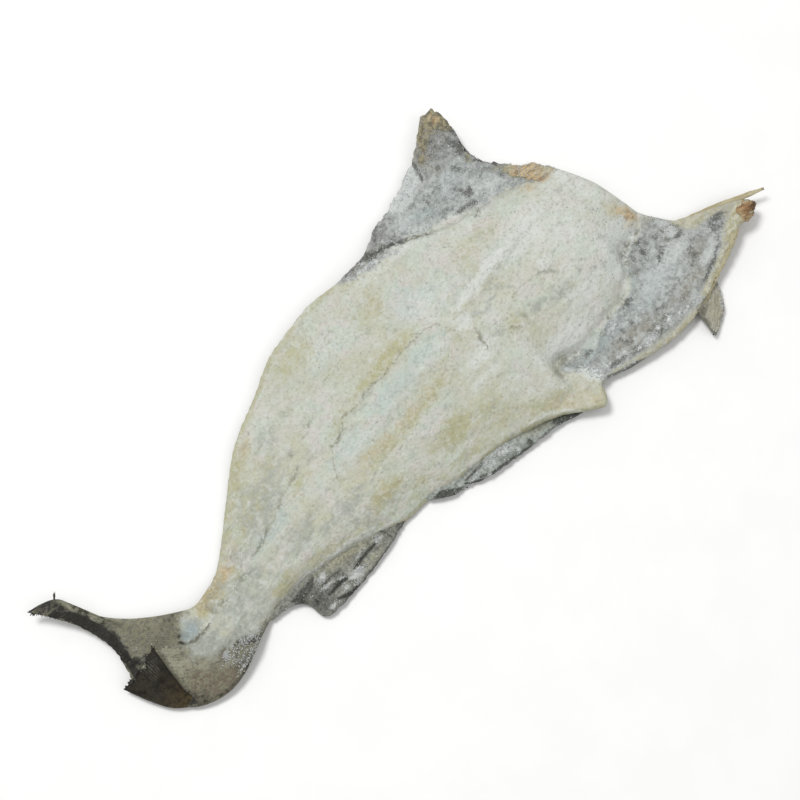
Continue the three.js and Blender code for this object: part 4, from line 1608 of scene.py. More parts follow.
            (4.5, 1.5, (-336, 20), (-336, 40), (-333, 56)), (1.6, 0.7, (-326, 92), (-321, 98), (-318, 106)),
            (1.8, 0.8, (-325, 76), (-321, 70)),
            (1.8, 1.3, (-325, 142), (-329, 152), (-340, 158), (-356, 162)),
            (1.7, 1.2, (-290, 39), (-287, 33), (-280, 29), (-269, 27), (-259, 28)),
        ),
        Field(((92, 139), (104, 137), (108, 131), (100, 127), (93, 131)), 4.0, 1.5),
        Field(((232, 150), (238, 152), (242, 142), (240, 128), (232, 131)), 5.0, 1.0),
        # Painted shadow: the next field darkens the flesh's right edge where it overhangs the rear anal fin.
        Field(((-200, -14), (-185, -13), (-174, -15), (-160, -22), (-196, -26)), 4.0, 1.2),
    )  # fmt: skip
    frost: tuple[Mark, ...] = (
        *blots(
            (180, -68, 46, 7, 0.5, -4), (120, -42, 12, 22, 0.5), (298, -66, 5, 6), (296, -74, 6, 4, 0.8),
            (148, 102, 24, 6, 0.6, -30), (90, 121, 34, 6, 0.6, -8), (200, 82, 34, 7, 0.5, -14),
            (197, -121, 7, 5, 0.9), (223, -125, 4, 4), (244, -131, 5, 3, 0.9), (208, -100, 10, 4, 0.6),
            (143, -82, 5, 4, 0.6), (186, -88, 7, 4, 0.7), (0, 108, 30, 10, 0.4), (-92, 112, 22, 8, 0.3, 20),
            (220, 36, 60, 26, 0.55), (245, -10, 44, 30, 0.5), (130, 10, 26, 16, 0.4),
            # The patch at (258, -38) is salt and partly painted light on the same shaded neck slope.
            (190, -45, 40, 12, 0.4), (150, 86, 34, 10, 0.3, -22), (258, -38, 24, 9, 0.9),
            (-272, -1, 4, 3, 1.1), (-262, -1, 5, 3, 0.8), (-257, -8, 20, 9, 0.4, 5), (-242, -9, 9, 4, 0.6),
            (-318, 62, 4, 6, 0.15), (-166, -23, 5, 3, 1.0, 30), (225, -124, 4, 2, 1.5),
            (196, -122, 5, 2.5, 1.5, -10), (186, -119, 3, 2, 1.4), (263, -133, 5, 2, 1.3),
            (212, -121, 4, 1.6, 1.2, -10), (238, -128, 4, 1.6, 1.2), (172, -111, 5, 2, 1.0, -10),
            (118, 134, 3, 2), (262, 46, 12, 5, 0.6, -30),
        ),
        *strokes(
            (8.0, 0.8, (252, -36), (238, -46), (231, -62), (226, -74)),
            (2.4, 0.5, (-280, -21), (-270, -20), (-257, -18), (-240, -13)), (1.8, 0.8, (-195, -11),
            (-175, -11), (-160, -15), (-144, -19), (-128, -22), (-110, -28), (-100, -33)),
            (1.6, 0.8, (60, -80), (80, -90), (94, -100), (104, -112)),
            (2.4, 1.2, (78, 132), (96, 128), (113, 122)),
        ),
        # Salt clump at the lining's corner; its whitest part is partly painted light on a slope the lamps
        # shade.
        Field(((132, -86), (146, -96), (156, -106), (141, -112), (133, -102)), 7.0, 1.8),
    )  # fmt: skip

    def build(self) -> Piece:
        """Makes the piece, its marks and its finish.

        Returns:
            The piece.
        """
        piece = make_leaf("cod_body", self.cells, self.place, cuts=1)
        for mask, values in self.marks(**self.flat).items():
            paint(piece, mask, values)
        return dress(piece, self.finish.make())

    def place(self, u: Array, v: Array, upper: Array) -> Array:
        """Lays the points of both sides.

        Args:
            u: share from the fork of the tail to the neck.
            v: share from the right edge to the left.
            upper: whether a point is on the upper side.

        Returns:
            The points.
        """
        across = (2 * v - 1) * (1 + self.edge_crowding * (1 - (2 * v - 1) ** 2))
        along = (u - self.tail_share) / (1 - self.tail_share)
        in_tail = along < 0
        slab = self.slab_rows(np.maximum(along, 0), across)
        tail = self.tail_rows(np.maximum(-along, 0) * (1 - self.tail_share) / self.tail_share, across)
        x, y, thick, middle, kept = (np.where(in_tail, t, s) for t, s in zip(tail, slab))
        tail_along = np.where(in_tail, -along * (1 - self.tail_share) / self.tail_share, 0.0)
        above = mix(self.form.rim_above, 0.5, self.form.stalk_blend.at(-x))
        full = np.clip(kept / np.maximum(thick, 0.1), 0, 1)
        rise = (middle + above * kept - self.mark_level) / self.eye[2]
        drawn_x, drawn_y = x + rise * (x - self.eye[0]), y + rise * (y - self.eye[1])
        jagged = self.jagged(drawn_x, drawn_y)
        top = middle + above * kept + full * self.relief(x, y, across, tail_along, jagged)
        bottom = middle - (1 - above) * kept
        self.flat = {"x": drawn_x, "y": drawn_y, "across": across, "upper": upper, "full": full}
        return np.stack([x, y, np.where(upper, top, bottom)], -1)

    def slab_rows(self, along: Array, across: Array) -> tuple[Array, ...]:
        """Rows of the slab: place, thickness, middle height and the thickness kept at the rim.

        Args:
            along: share from the tail's join to the neck.
            across: share from the right edge, -1, to the left, 1.

        Returns:
            The places along and across, the two thicknesses and the middle height.
        """
        form = self.form
        foot = mix(form.tail_join, form.neck_end, along)
        left = across > 0
        edge_x = np.where(left, form.left_edge_at.at(foot, 0), form.right_edge_at.at(foot, 0))
        edge_y = np.where(left, form.left_edge_at.at(foot, 1), form.right_edge_at.at(foot, 1))
        share = np.abs(across)
        sweep = mix(form.sweep_body, form.sweep_neck, form.sweep.at(foot))
        length = np.hypot(edge_x - foot, edge_y - form.back_line)
        notch = self.raggedness(edge_x, edge_y) * self.torn_rim.at(share) / length
        x = foot + (edge_x - foot) * share**sweep
        y = form.back_line + (edge_y - form.back_line) * share * (1 - notch)
        slant = self.neck_slant_from.at(edge_x) * (edge_y > self.neck_slant_left_of)
        x = x - self.neck_slant * notch * length * slant
        thick, middle = self.levels(x, y, across, np.zeros_like(x))
        to_end = form.rim_lean * (form.neck_end - foot)
        kept = thick * rim_share(np.minimum((1 - share) * length, to_end), form.rim_radius)
        return x, y, thick, middle, np.maximum(kept, form.rim_least)

    def fan_share(self, across: Array, t: Array) -> Array:
        """How far a place is from the tail's lower edge to its upper one.

        Args:
            across: share from the right edge, -1, to the left, 1.
            t: share from the stalk to the fork.

        Returns:
            The shares.
        """
        width = self.form.left_edge[0][2] - self.form.right_edge[0][2]
        lower = (self.form.back_line - self.form.right_edge[0][2]) / width
        at_join = np.where(across < 0, lower * (1 + across), lower + (1 - lower) * across)
        return mix(at_join, (1 + across) / 2, smooth(t))

    def tail_rows(self, t: Array, across: Array) -> tuple[Array, ...]:
        """Rows of the tail from the stalk, t = 0, to the fork, t = 1.

        Args:
            t: share from the stalk to the fork.
            across: share from the right edge, -1, to the left, 1.

        Returns:
            The places along and across, the two thicknesses and the middle height.
        """
        form = self.form
        s = self.fan_share(across, t)
        t = t * (1 - self.fork_wear(s) * self.fork_rim.at(t))
        low, high, end = form.tail_lower_path, form.tail_upper_path, form.fork_path
        t3, s3 = t[:, None], s[:, None]
        start = mix(low.points[0], high.points[0], s3)
        rails = mix(low.at(t), high.at(t), s3)
        corners = mix(start, mix(low.points[-1], high.points[-1], s3), t3)
        x, y = (rails + mix(start, end.at(s), t3) - corners).T
        thick, middle = self.levels(x, y, across, t)
        nearest = np.minimum(np.minimum(s, 1 - s) * form.fan_width, (1 - t) * form.fan_reach)
        kept = thick * rim_share(nearest, mix(*form.fan_rim, smooth(t / form.fan_from)))
        return x, y, thick, middle, np.maximum(kept, form.rim_least)

    def levels(self, x: Array, y: Array, across: Array, t: Array) -> tuple[Array, Array]:
        """Thickness and middle height, with the slab blended into the tail stalk.

        Args:
            x, y: places along the fish and across it.
            across: share from the right edge to the left.
            t: share from the stalk to the fork.

        Returns:
            The thickness and the height.
        """
        form = self.form
        thick = form.thickness(x, y)
        middle = form.skin_height(x, y) + (1 - form.rim_above) * thick
        s = self.fan_share(across, t)
        fan = smooth(t / form.fan_from)
        section = np.sin(np.pi * (0.05 + 0.9 * s)) ** 0.6
        tail_thick = mix(section * form.stalk_thick, mix(*form.fan_thick, t), fan)
        tail_middle = mix(form.stalk_height, form.fan_height, fan) + form.belly_lift * (1 - s) * (1 - t)
        tail_middle = tail_middle + form.fan_lift.at(y) + form.tip_curl.at(-x) * form.tip_curl_from.at(y)
        share = form.stalk_blend.at(-x)
        return mix(thick, tail_thick, share), mix(middle, tail_middle, share)

    def raggedness(self, x: Array, y: Array) -> Array:
        """How far the outline is torn in, in millimetres.

        Args:
            x, y: places on the outline.

        Returns:
            The depths.
        """
        torn = self.tearing + self.left_tearing.at(x) * self.left_tearing_from.at(y)
        torn = torn + self.neck_tearing.at(x)
        return torn * clamp01(0.5 + self.tears.at(x, y))

    def fork_wear(self, s: Array) -> Array:
        """Share of the tail rays' length that is frayed away at the fork."""
        frayed = clamp01(0.4 + self.fork_fray.at(s * 60, s * 0))
        return self.fork_torn * frayed * smooth(s / 0.1) * smooth((1 - s) / 0.06)

    def relief(
        self, x: Array, y: Array, across: Array, tail_along: Array, jagged: tuple[Array, Array]
    ) -> Array:
        """Fine relief of the upper side in millimetres.

        Args:
            x, y: places along the fish and across it.
            across: share from the right edge to the left.
            tail_along: share of the tail.
            jagged: the places as the cracks take them.

        Returns:
            The heights.
        """
        relief = mix(self.lining_relief(x, y), self.flesh_relief(x, y), self.form.flesh_share(x, y))
        crumbs = pebbles(x, y, 5.5, 38) + 0.5 * pebbles(x, y, 2.8, 39)
        relief = relief + painted(self.crusts, x, y) * (self.crust_height + self.crumb_height * crumbs)
        drift = self.ray_drift * Grain(36).at(across * 40, tail_along * 2, 4)
        rays = self.ray_height * np.sin(2 * np.pi * self.rays * (across + 1) / 2 + drift)
        relief = mix(relief, rays + self.fan_grain.at(x, y), self.fan_grain_from.at(tail_along))
        gaping = clamp01(0.8 + self.gaping.at(x, y))
        lips = [Stroke(mark.line, self.lip_spread * mark.wide, mark.strength) for mark in self.cracks]
        relief = relief - self.crack_depth * painted(self.cracks, *jagged) * gaping
        relief = relief + self.lip_height * painted(lips, *jagged)
        return relief - self.crease_depth * painted(self.creases, *jagged) * gaping

    def flesh_relief(self, x: Array, y: Array) -> Array:
        """Lumps, pebbles, fibres and pleats of the cut flesh.

        Args:
            x, y: places along the fish and across it.

        Returns:
            The heights.
        """
        lumps = sum(texture.at(x, y) for texture in self.lumps)
        patchy = clamp01(0.5 + Grain(24).at(x, y, 18))
        grain = self.pebble_height * pebbles(x, y, 4.6, 23) * (0.3 + painted(self.pebbly, x, y)) * patchy
        pleat = 1 - np.abs(Grain(27).at(x * 0.55 + 5 * Grain(26).at(x, y, 24), y, 10, 3))
        pleats = self.pleat_height * painted(self.pleated, x, y) * (pleat - self.pleat_level)
        return lumps + grain + self.fibre.at(x * self.fibre_stretch, y) + pleats

    def lining_relief(self, x: Array, y: Array) -> Array:
        """Wrinkles, pebbles and grain of the belly lining.

        Args:
            x, y: places along the fish and across it.

        Returns:
            The heights.
        """
        wrinkle = 1 - np.abs(Grain(31).at(x * 0.6 + 4 * Grain(32).at(x, y, 20), y, 9, 2))
        patchy = clamp01(Grain(34).at(x, y, 22) + 0.5)
        lumps = self.lining_pebble_height * pebbles(x, y, 5.2, 33) * patchy
        return self.wrinkle_height * (wrinkle - self.wrinkle_level) + lumps + self.lining_grain.at(x, y)

    def jagged(self, x: Array, y: Array) -> tuple[Array, Array]:
        """Places moved about a little, so that straight cracks come out jagged.

        Args:
            x, y: places along the fish and across it.

        Returns:
            The moved places.
        """
        far = self.jag_from.at(x)
        moved_x = x + self.jag[0] * far * Grain(41).at(x, y, 8, 2)
        return moved_x, y + self.jag[1] * far * Grain(42).at(x, y, 8, 2)

    def marks(self, x: Array, y: Array, across: Array, upper: Array, full: Array) -> dict[Mask, Array]:
        """The shares that the material reads at the points.

        Args:
            x: places along the fish, on the level that the marks are drawn on.
            y: places across it, on the same level.
            across: share from the right edge, -1, to the left, 1.
            upper: whether a point is on the upper side.
            full: share of the full thickness that is left near the rim.

        Returns:
            The values by mask.
        """
        wx, wy = x + self.warp[0].at(x, y), y + self.warp[1].at(x, y)
        near_x, near_y = mix(x, wx, self.near_warp), mix(y, wy, self.near_warp)
        jag_x, jag_y = self.jagged(x, y)
        gaps = (*self.cracks, *self.creases)
        wide = [Stroke(mark.line, self.crack_shade, mark.strength) for mark in gaps]
        left = smooth(0.5 + (wy - Profile(self.lining_left).at(x)) / 12) * (x > 40)
        lining = np.maximum(left, self.lining_right.weigh(wx, wy))
        skin_tail = self.tail_skin.weigh(x + self.skin_warp * (wx - x), y + self.skin_warp * (wy - y))
        rim = smooth((0.55 - full) / 0.5)
        beside_fins = rim * smooth((100 - x) / 20) * (across < 0)
        skin = np.maximum(skin_tail, 0.5 * beside_fins)
        skin = np.where(upper, skin, 1.0)
        tan = 0.8 * smooth((np.abs(across) - 0.9) / 0.1) * (1 - lining)
        top = upper.astype(float)
        back, belly = 1 - smooth(np.abs(across) / 0.4), smooth((np.abs(across) - 0.35) / 0.4)
        patchy = clamp01(0.5 + Texture(1.2, 53, 26, 3).at(x, y))
        dark_skin, worn_skin = 0.25 + 0.5 * back * patchy, belly * (1 - 0.5 * patchy)
        brown_skin = 0.7 * (1 - patchy)
        return {
            Mask.LINING: lining,
            Mask.SKIN: skin,
            Mask.HONEY: np.maximum(painted(self.honey, wx, wy), tan) * top,
            Mask.RUST: painted(self.rust, wx, wy) * top,
            Mask.SEA: painted(self.sea, wx, wy) * top,
            Mask.FROST: painted(self.frost, near_x, near_y) * top,
            Mask.CHAR_AND_SHADE: painted(self.char_and_shade, near_x, near_y) * top + dark_skin * (1 - top),
            Mask.CRACK: painted(wide, jag_x, jag_y) * top,
            Mask.AMBER: painted(self.amber, wx, wy) * top,
            Mask.BLOOM: painted(self.bloom, wx, wy) * top,
            Mask.RIFT: rift(gaps, jag_x, jag_y),
            Mask.CREAM: painted(self.cream, x, y) * top,
            Mask.PALE: painted(self.pale, wx, wy) * top + worn_skin * (1 - top),
            Mask.UMBER: painted(self.umber, wx, wy) * top + brown_skin * (1 - top),
            Mask.GREY: painted(self.grey, wx, wy) * top,
            Mask.LIVID: painted(self.livid, wx, wy) * top,
        }


# ---- Tail lobe, fins and bones -------------------------------------------------------------------------
class RayWay(Enum):
    """Which way the rays of a fin run."""

    ALONG = "along"
    ACROSS = "across"


@dataclass
class TailLobe:
    """Lower lobe of the tail fin, curled up and back over the fan."""

    outer: Points = ((-318, -12), (-327, -5), (-337, 6), (-345, 25), (-352, 51))
    free: Points = ((-315, -8), (-318.5, 4), (-316, 16), (-312, 31), (-307, 51))
    foot_height: float = 5.6
    outer_height: float = 8.0
    free_height: float = 25.0
    rise_by: float = 0.7
    thick: tuple[float, float] = (1.2, 2.0)
    span: float = 40.0
    least_thick: float = 0.5
    worn: float = 0.03
    notches: Points = ((0.09, 0.6, 0.07), (0.05, 0.3, 0.04))  # depth, place and width, as shares
    spine: tuple[float, float, float] = (0.07, 0.985, 0.03)  # height, place and width, as shares
    spine_run: tuple[float, float] = (0.15, 1.0)
    spine_reach: float = 60.0
    tip_from: Rise = Rise(1, 0.7, 0.3)
    crumple: Texture = Texture(0.8, 63, 14, 2)
    ray_height: float = 0.2
    rays: int = 17
    cells: tuple[int, int] = (110, 90)
    finish: MembraneFinish = MembraneFinish(
        "lobe_skin", base="28241b", dark="17140f", pale="342f23", salt="6d6757", olive="50442a", grit=0.08
    )

    def build(self) -> Piece:
        """Makes the piece with its marks and its finish.

        Returns:
            The piece.
        """
        piece = make_leaf("tail_lobe", self.cells, self.place)
        along, across = self.shares
        drift = 2.5 * Grain(61).at(across * 30, along * 4, 3)
        ray = 0.5 + 0.5 * np.sin(2 * np.pi * self.rays * across + drift)
        tip, shaded_free_edge = smooth((along - 0.85) / 0.15), smooth((across - 0.75) / 0.25)
        paint(piece, FinMask.RAY, 0.35 * ray * smooth(along / 0.25))
        # Darker towards the tip; the darkening along the free edge is painted shade where the curled lobe
        # folds over.
        paint(piece, FinMask.DARK, 0.8 * np.maximum(tip, shaded_free_edge))
        paint(piece, FinMask.OLIVE, smooth((0.65 - along) / 0.5))
        paint(piece, FinMask.FROST, 1.3 * smooth((0.2 - along) / 0.25))
        return dress(piece, self.finish.make())

    def place(self, along: Array, across: Array, upper: Array) -> Array:
        """Lays the points from the foot to the tip, and from the outer edge to the free one.

        Args:
            along: share from the foot to the tip.
            across: share from the outer edge to the free one.
            upper: whether a point is on the upper side.

        Returns:
            The points.
        """
        self.shares = along, across
        worn = self.worn * clamp01(0.5 + Grain(62).at(across * 60, across * 0, 3, 3))
        notch = sum(deep * np.exp(-(((across - at) / wide) ** 2)) for deep, at, wide in self.notches)
        high, at, wide = self.spine
        spine = high * np.exp(-(((across - at) / wide) ** 2))
        t = along * (1 + (spine - worn - notch) * self.tip_from.at(along))
        outside, free = Path(self.outer).at(t), Path(self.free).at(t)
        over = np.maximum(t - 1, 0)[:, None] * np.array(self.spine_run) * self.spine_reach
        x, y = (mix(outside, free, across[:, None]) + over).T
        up = smooth(t / self.rise_by)
        arch = mix(self.outer_height, self.free_height, np.sin(np.pi / 2 * across))
        ray = np.sin(2 * np.pi * self.rays * across) * smooth(along / 0.3)
        middle = mix(self.foot_height, arch, up) + self.ray_height * ray + self.crumple.at(x, y) * up
        thick = mix(*self.thick, up)
        nearest = self.span * np.minimum(np.minimum(across, 1 - across), np.minimum(along, 1 - along))
        half = np.maximum(thick * rim_share(nearest, thick), self.least_thick) / 2
        return np.stack([x, y, middle + np.where(upper, half, -half)], -1)


@dataclass
class EdgeFin:
    """A dried fin on the right edge, flat on the floor."""

    name: str
    inner: Points
    outer: Points
    inner_height: float
    outer_height: float
    cells: tuple[int, int]
    finish: MembraneFinish
    way: RayWay = RayWay.ACROSS
    rays: int = 40
    ragged: float = 2.5
    crumple: float = 1.0
    seed: int = 70
    root_thick: float = 6.0
    edge_thick: float = 3.4
    span: float = 40.0
    wave: float = 0.8
    waves: int = 3
    fold_height: float = 1.6
    fold_level: float = 0.75
    pebble_height: float = 0.9
    ray_height: float = 0.25
    slit_depth: float = 1.6
    least_thick: float = 0.7
    lowest: float = 0.2
    slits: tuple[Stroke, ...] = ()
    dark: tuple[Mark, ...] = ()
    frost: tuple[Mark, ...] = ()
    olive: tuple[Mark, ...] = ()

    def build(self) -> Piece:
        """Makes the piece with its marks and its finish.

        Returns:
            The piece.
        """
        piece = make_leaf(self.name, self.cells, self.place, cuts=1)
        across, x, y, ray = self.state
        fringe = smooth((across - 0.84) / 0.16) * clamp01(0.5 + Grain(self.seed + 4).at(x, y, 9, 2))
        paint(piece, FinMask.RAY, clamp01(ray) * 0.3)
        paint(piece, FinMask.DARK, np.maximum(painted((*self.slits, *self.dark), x, y), fringe))
        paint(piece, FinMask.OLIVE, painted(self.olive, x, y))
        paint(piece, FinMask.FROST, painted(self.frost, x, y))
        return dress(piece, self.finish.make())

    def place(self, along: Array, across: Array, upper: Array) -> Array:
        """Lays the points away from the tail, and from the flesh to the free edge.

        Args:
            along: share of the fin's length.
            across: share from the flesh to the free edge.
            upper: whether a point is on the upper side.

        Returns:
            The points.
        """
        torn = self.ragged * clamp01(0.4 + Grain(self.seed).at(along * 160, along * 0, 5, 3))
        inside, outside = Path(self.inner).at(along), Path(self.outer).at(along)
        gap = np.maximum(np.linalg.norm(outside - inside, axis=1), 1.0)
        s = across * (1 - torn / gap * smooth((across - 0.6) / 0.4))
        x, y = mix(inside, outside, s[:, None]).T
        if self.way is RayWay.ACROSS:
            ray = np.sin(2 * np.pi * self.rays * along + Grain(self.seed + 1).at(x, y, 9))
        else:
            ray = np.sin(2 * np.pi * self.rays * across)
        fold = 1 - np.abs(Grain(self.seed + 2).at(x * 0.45 + y * 0.2, y, 7, 2))
        grain = self.pebble_height * pebbles(x, y, 4.0, self.seed + 3)
        relief = self.crumple * (self.fold_height * (fold - self.fold_level) + grain) + self.ray_height * ray
        relief = relief - self.slit_depth * painted(self.slits, x, y)
        wave = self.wave * across * np.sin(2 * np.pi * self.waves * along)
        middle = mix(self.inner_height, self.outer_height, smooth(across)) + wave
        thick = mix(self.root_thick, self.edge_thick, across)
        to_side, to_end = np.minimum(across, 1 - across), np.minimum(along, 1 - along)
        share = rim_share(self.span * np.minimum(to_side, 4 * to_end), self.edge_thick)
        half = np.maximum(thick * share, self.least_thick) / 2
        self.state = across, x, y, ray
        top, bottom = middle + half + share * relief, np.maximum(middle - half, self.lowest)
        return np.stack([x, y, np.where(upper, top, bottom)], -1)


@dataclass
class CollarSpike:
    """Bare collar bone past the right flap."""

    line: Points = (
        (300, -67, 4.0), (314, -77, 7.5), (332, -87, 10.5), (350, -97, 12.5), (368, -107.5, 14.0),
        (385, -117.5, 15.5),
    )  # fmt: skip
    wide: Points = ((0, 1.6), (0.15, 3.0), (0.5, 3.6), (0.75, 2.7), (0.93, 1.9), (1, 1.3))
    flat: float = 0.62
    lumpy: float = 0.14
    fluted: float = 0.08
    stains: tuple[Mark, ...] = (Blot(386, -118, 4, 3), Blot(341, -90, 9, 1.4, 0.6, -30))
    sides: int = 20
    rings: int = 90
    finish: BoneFinish = BoneFinish("collar_bone", base="a69b78", pale="b9b092", dark="80754f", salt="bcbaa8")

    def build(self) -> Piece:
        """Makes the piece with its finish.

        Returns:
            The piece.
        """
        piece = make_rod("collar_spike", self.sides, self.rings, self.place)
        x, y, _ = fish_points(piece).T
        paint(piece, FinMask.DARK, painted(self.stains, x, y))
        return dress(piece, self.finish.make())

    def place(self, along: Array, angle: Array) -> Array:
        """Lays rings across the bone, flatter than they are wide.

        Args:
            along: share of the bone's length.
            angle: the angle round it.

        Returns:
            The points.
        """
        path = Path(self.line)
        (x, y, z), (side_x, side_y) = path.at(along).T, path.side(along).T
        lumps = 1 + self.lumpy * Grain(81).at(along * 90, 3 * np.sin(angle), 9, 2)
        radius = Profile(self.wide).at(along) * lumps * (1 + self.fluted * np.cos(3 * angle + 5 * along))
        out, up = radius * np.cos(angle), self.flat * radius * np.sin(angle)
        return np.stack([x + side_x * out, y + side_y * out, z + up], -1)


@dataclass
class FlapRim:
    """Pale thickened rim of the right flap."""

    form: BodyForm
    line: Points = (
        (236, -140), (262, -139), (288, -133), (312, -127), (332, -120), (343, -115),
    )  # fmt: skip
    wide: Points = ((0, 0.7), (0.2, 2.0), (0.45, 2.6), (0.7, 3.8), (0.88, 5.0), (1, 4.0))
    lift: float = 0.4
    run: float = 230.0
    flat: float = 0.38
    lumpy: float = 0.16
    uneven: Texture = Texture(0.5, 84, 21, 2)
    stains: tuple[Mark, ...] = (
        *strokes(
            (1.2, 1.2, (140, -112), (165, -123), (192, -132), (212, -136)),
            (1.4, 1.3, (244, -140), (262, -139), (276, -136), (286, -134)),
            (1.0, 0.7, (300, -128), (312, -126), (324, -121)),
        ),
        Blot(343, -111, 4, 4, 0.9),
    )  # fmt: skip
    sides: int = 18
    rings: int = 200
    finish: BoneFinish = BoneFinish("rim_gristle", base="a09877", pale="b1aa8c", dark="736a50", salt="b9b7a3")

    def build(self) -> Piece:
        """Makes the piece with its finish.

        Returns:
            The piece.
        """
        piece = make_rod("flap_rim", self.sides, self.rings, self.place)
        x, y, _ = fish_points(piece).T
        paint(piece, FinMask.DARK, painted(self.stains, x, y))
        return dress(piece, self.finish.make())

    def place(self, along: Array, angle: Array) -> Array:
        """Lays rings along the flap's edge, lumpy and pinched.

        Args:
            along: share of the rim's length.
            angle: the angle round it.

        Returns:
            The points.
        """
        path, form = Path(self.line), self.form
        (x, y), (side_x, side_y) = path.at(along).T, path.side(along).T
        height = form.skin_height(x, y) + (1 - form.rim_above) * form.flap_thick + self.lift
        lumps = 1 + self.lumpy * Grain(83).at(along * self.run, 2 * np.cos(angle), 14, 3)
        radius = Profile(self.wide).at(along) * lumps
        out, up = radius * np.cos(angle), self.flat * radius * np.sin(angle)
        height = height + self.uneven.at(along * self.run, along * 0)
        return np.stack([x + side_x * out, y + side_y * out, height + up], -1)


@dataclass
class Knuckle:
    """Dried orange-brown lump at the end of the collar bones."""

    middle: tuple[float, float, float] = (354.0, -116.3, 17.6)
    radii: tuple[float, float, float] = (12.8, 9.2, 6.2)
    rough: float = 0.26
    cuts: int = 5
    burnt: tuple[Mark, ...] = blots(
        (363, -121, 6, 5, 1.3), (354, -108, 2, 5, 0.8, 30), (358, -118, 7, 2, 0.5, 20),
    )  # fmt: skip
    worn: tuple[Mark, ...] = (
        Stroke(((337, -108), (342, -116), (342, -126)), 6.5, 1.1),
        Stroke(((344, -126), (354, -124)), 3.0, 0.8),
    )
    finish: BoneFinish = BoneFinish(
        "knuckle_crust", base="8c6945", pale="ae936c", dark="5c4630", salt="b9a582"
    )

    def build(self) -> Piece:
        """Makes the piece with its finish.

        Returns:
            The piece.
        """
        add = bpy.ops.mesh.primitive_ico_sphere_add
        piece = primitive("collar_knuckle", add, subdivisions=self.cuts, radius=1.0)
        ball = read_points(piece)
        x, y, z = ball.T
        lumps = Grain(85).at(x + 0.7 * z, y - 0.4 * z, 0.8, 3) - 0.5 * Grain(86).at(x + z, y + z, 0.25, 3)
        ball = ball * (1 + self.rough * lumps)[:, None]
        placed = ball * np.array(self.radii) + np.array(self.middle)
        write_points(piece, placed)
        for mask, marks in ((FinMask.DARK, self.burnt), (FinMask.WORN, self.worn)):
            paint(piece, mask, painted(marks, placed[:, 0], placed[:, 1]))
        close_up(piece)
        return dress(piece, self.finish.make())


@dataclass
class Frays:
    """Dried splinters of ray and skin along the torn edges."""

    edges: tuple[tuple[Points, float, float, float, int], ...] = (
        (((-330, 55, 6), (-330, 70, 8), (-326, 86, 8), (-328, 102, 9), (-333, 120, 11),
          (-341, 139, 14), (-352, 157, 15.5)), 4.0, 205.0, 22.0, 110),
        (((-346, 156, 16), (-352, 159, 16)), 4.5, 160.0, 26.0, 12),
        (((-331, 149, 14.5), (-329, 150.5, 15)), 9.5, 42.0, 8.0, 16),
        (((-350, 46, 9), (-335, 48, 20), (-318, 49, 24)), 2.6, 100.0, 25.0, 26),
        (((-309, 48, 25), (-307, 49, 25.5)), 5.5, 50.0, 9.0, 6),
        (((-186, -49, 3), (-155, -53.5, 3), (-105, -51.5, 3)), 2.2, 265.0, 30.0, 34),
        (((-30, -69, 3), (-4, -80, 3), (30, -91.5, 3), (70, -101, 3)), 1.8, 255.0, 30.0, 26),
        (((249, 172, 22), (248, 158, 18), (239.5, 136, 13), (236, 124, 10)), 2.2, 5.0, 45.0, 36),
        (((241, -165, 5), (256, -163, 5), (270, -155, 5)), 2.0, 250.0, 30.0, 30),
    )  # fmt: skip
    dip: tuple[float, float] = (4, 9)  # mean and spread in degrees
    shares: tuple[float, float] = (0.35, 1.0)
    wide: tuple[float, float] = (0.2, 0.5)
    thick: tuple[float, float] = (0.4, 1.1)
    out: float = 0.6
    seed: int = 91
    finish: MembraneFinish = MembraneFinish(
        "frayed_skin", base="3d3a32", dark="26241f", pale="57534a", grit=0.1
    )

    def build(self) -> Piece:
        """Makes the piece with its finish.

        Returns:
            The piece.
        """
        rng = np.random.default_rng(self.seed)
        add = bpy.ops.mesh.primitive_cone_add
        pattern = primitive("splinter", add, vertices=5, radius1=1.0, radius2=0.15, depth=2.0)
        places, turns, sizes = [], [], []
        for line, length, heading, spread, count in self.edges:
            middle = Path(line).at(rng.uniform(0, 1, count))
            yaw = np.radians(heading + rng.normal(0, spread, count))
            pitch = np.radians(90 - rng.normal(*self.dip, count))
            half = length * rng.uniform(*self.shares, count) / 2
            turn = turned(np.stack([np.zeros(count), pitch, yaw], -1))
            places.append(middle + np.einsum("nij,j->ni", turn, [0, 0, 1]) * half[:, None] * self.out)
            turns.append(turn)
            wide, thick = rng.uniform(*self.wide, count), rng.uniform(*self.thick, count)
            sizes.append(np.stack([wide, thick, half], -1))
        piece = copies("frayed_edges", pattern, np.vstack(places), np.vstack(turns), np.vstack(sizes))
        paint(piece, FinMask.RAY, np.full(len(piece.data.vertices), 0.3))
        return dress(piece, self.finish.make())


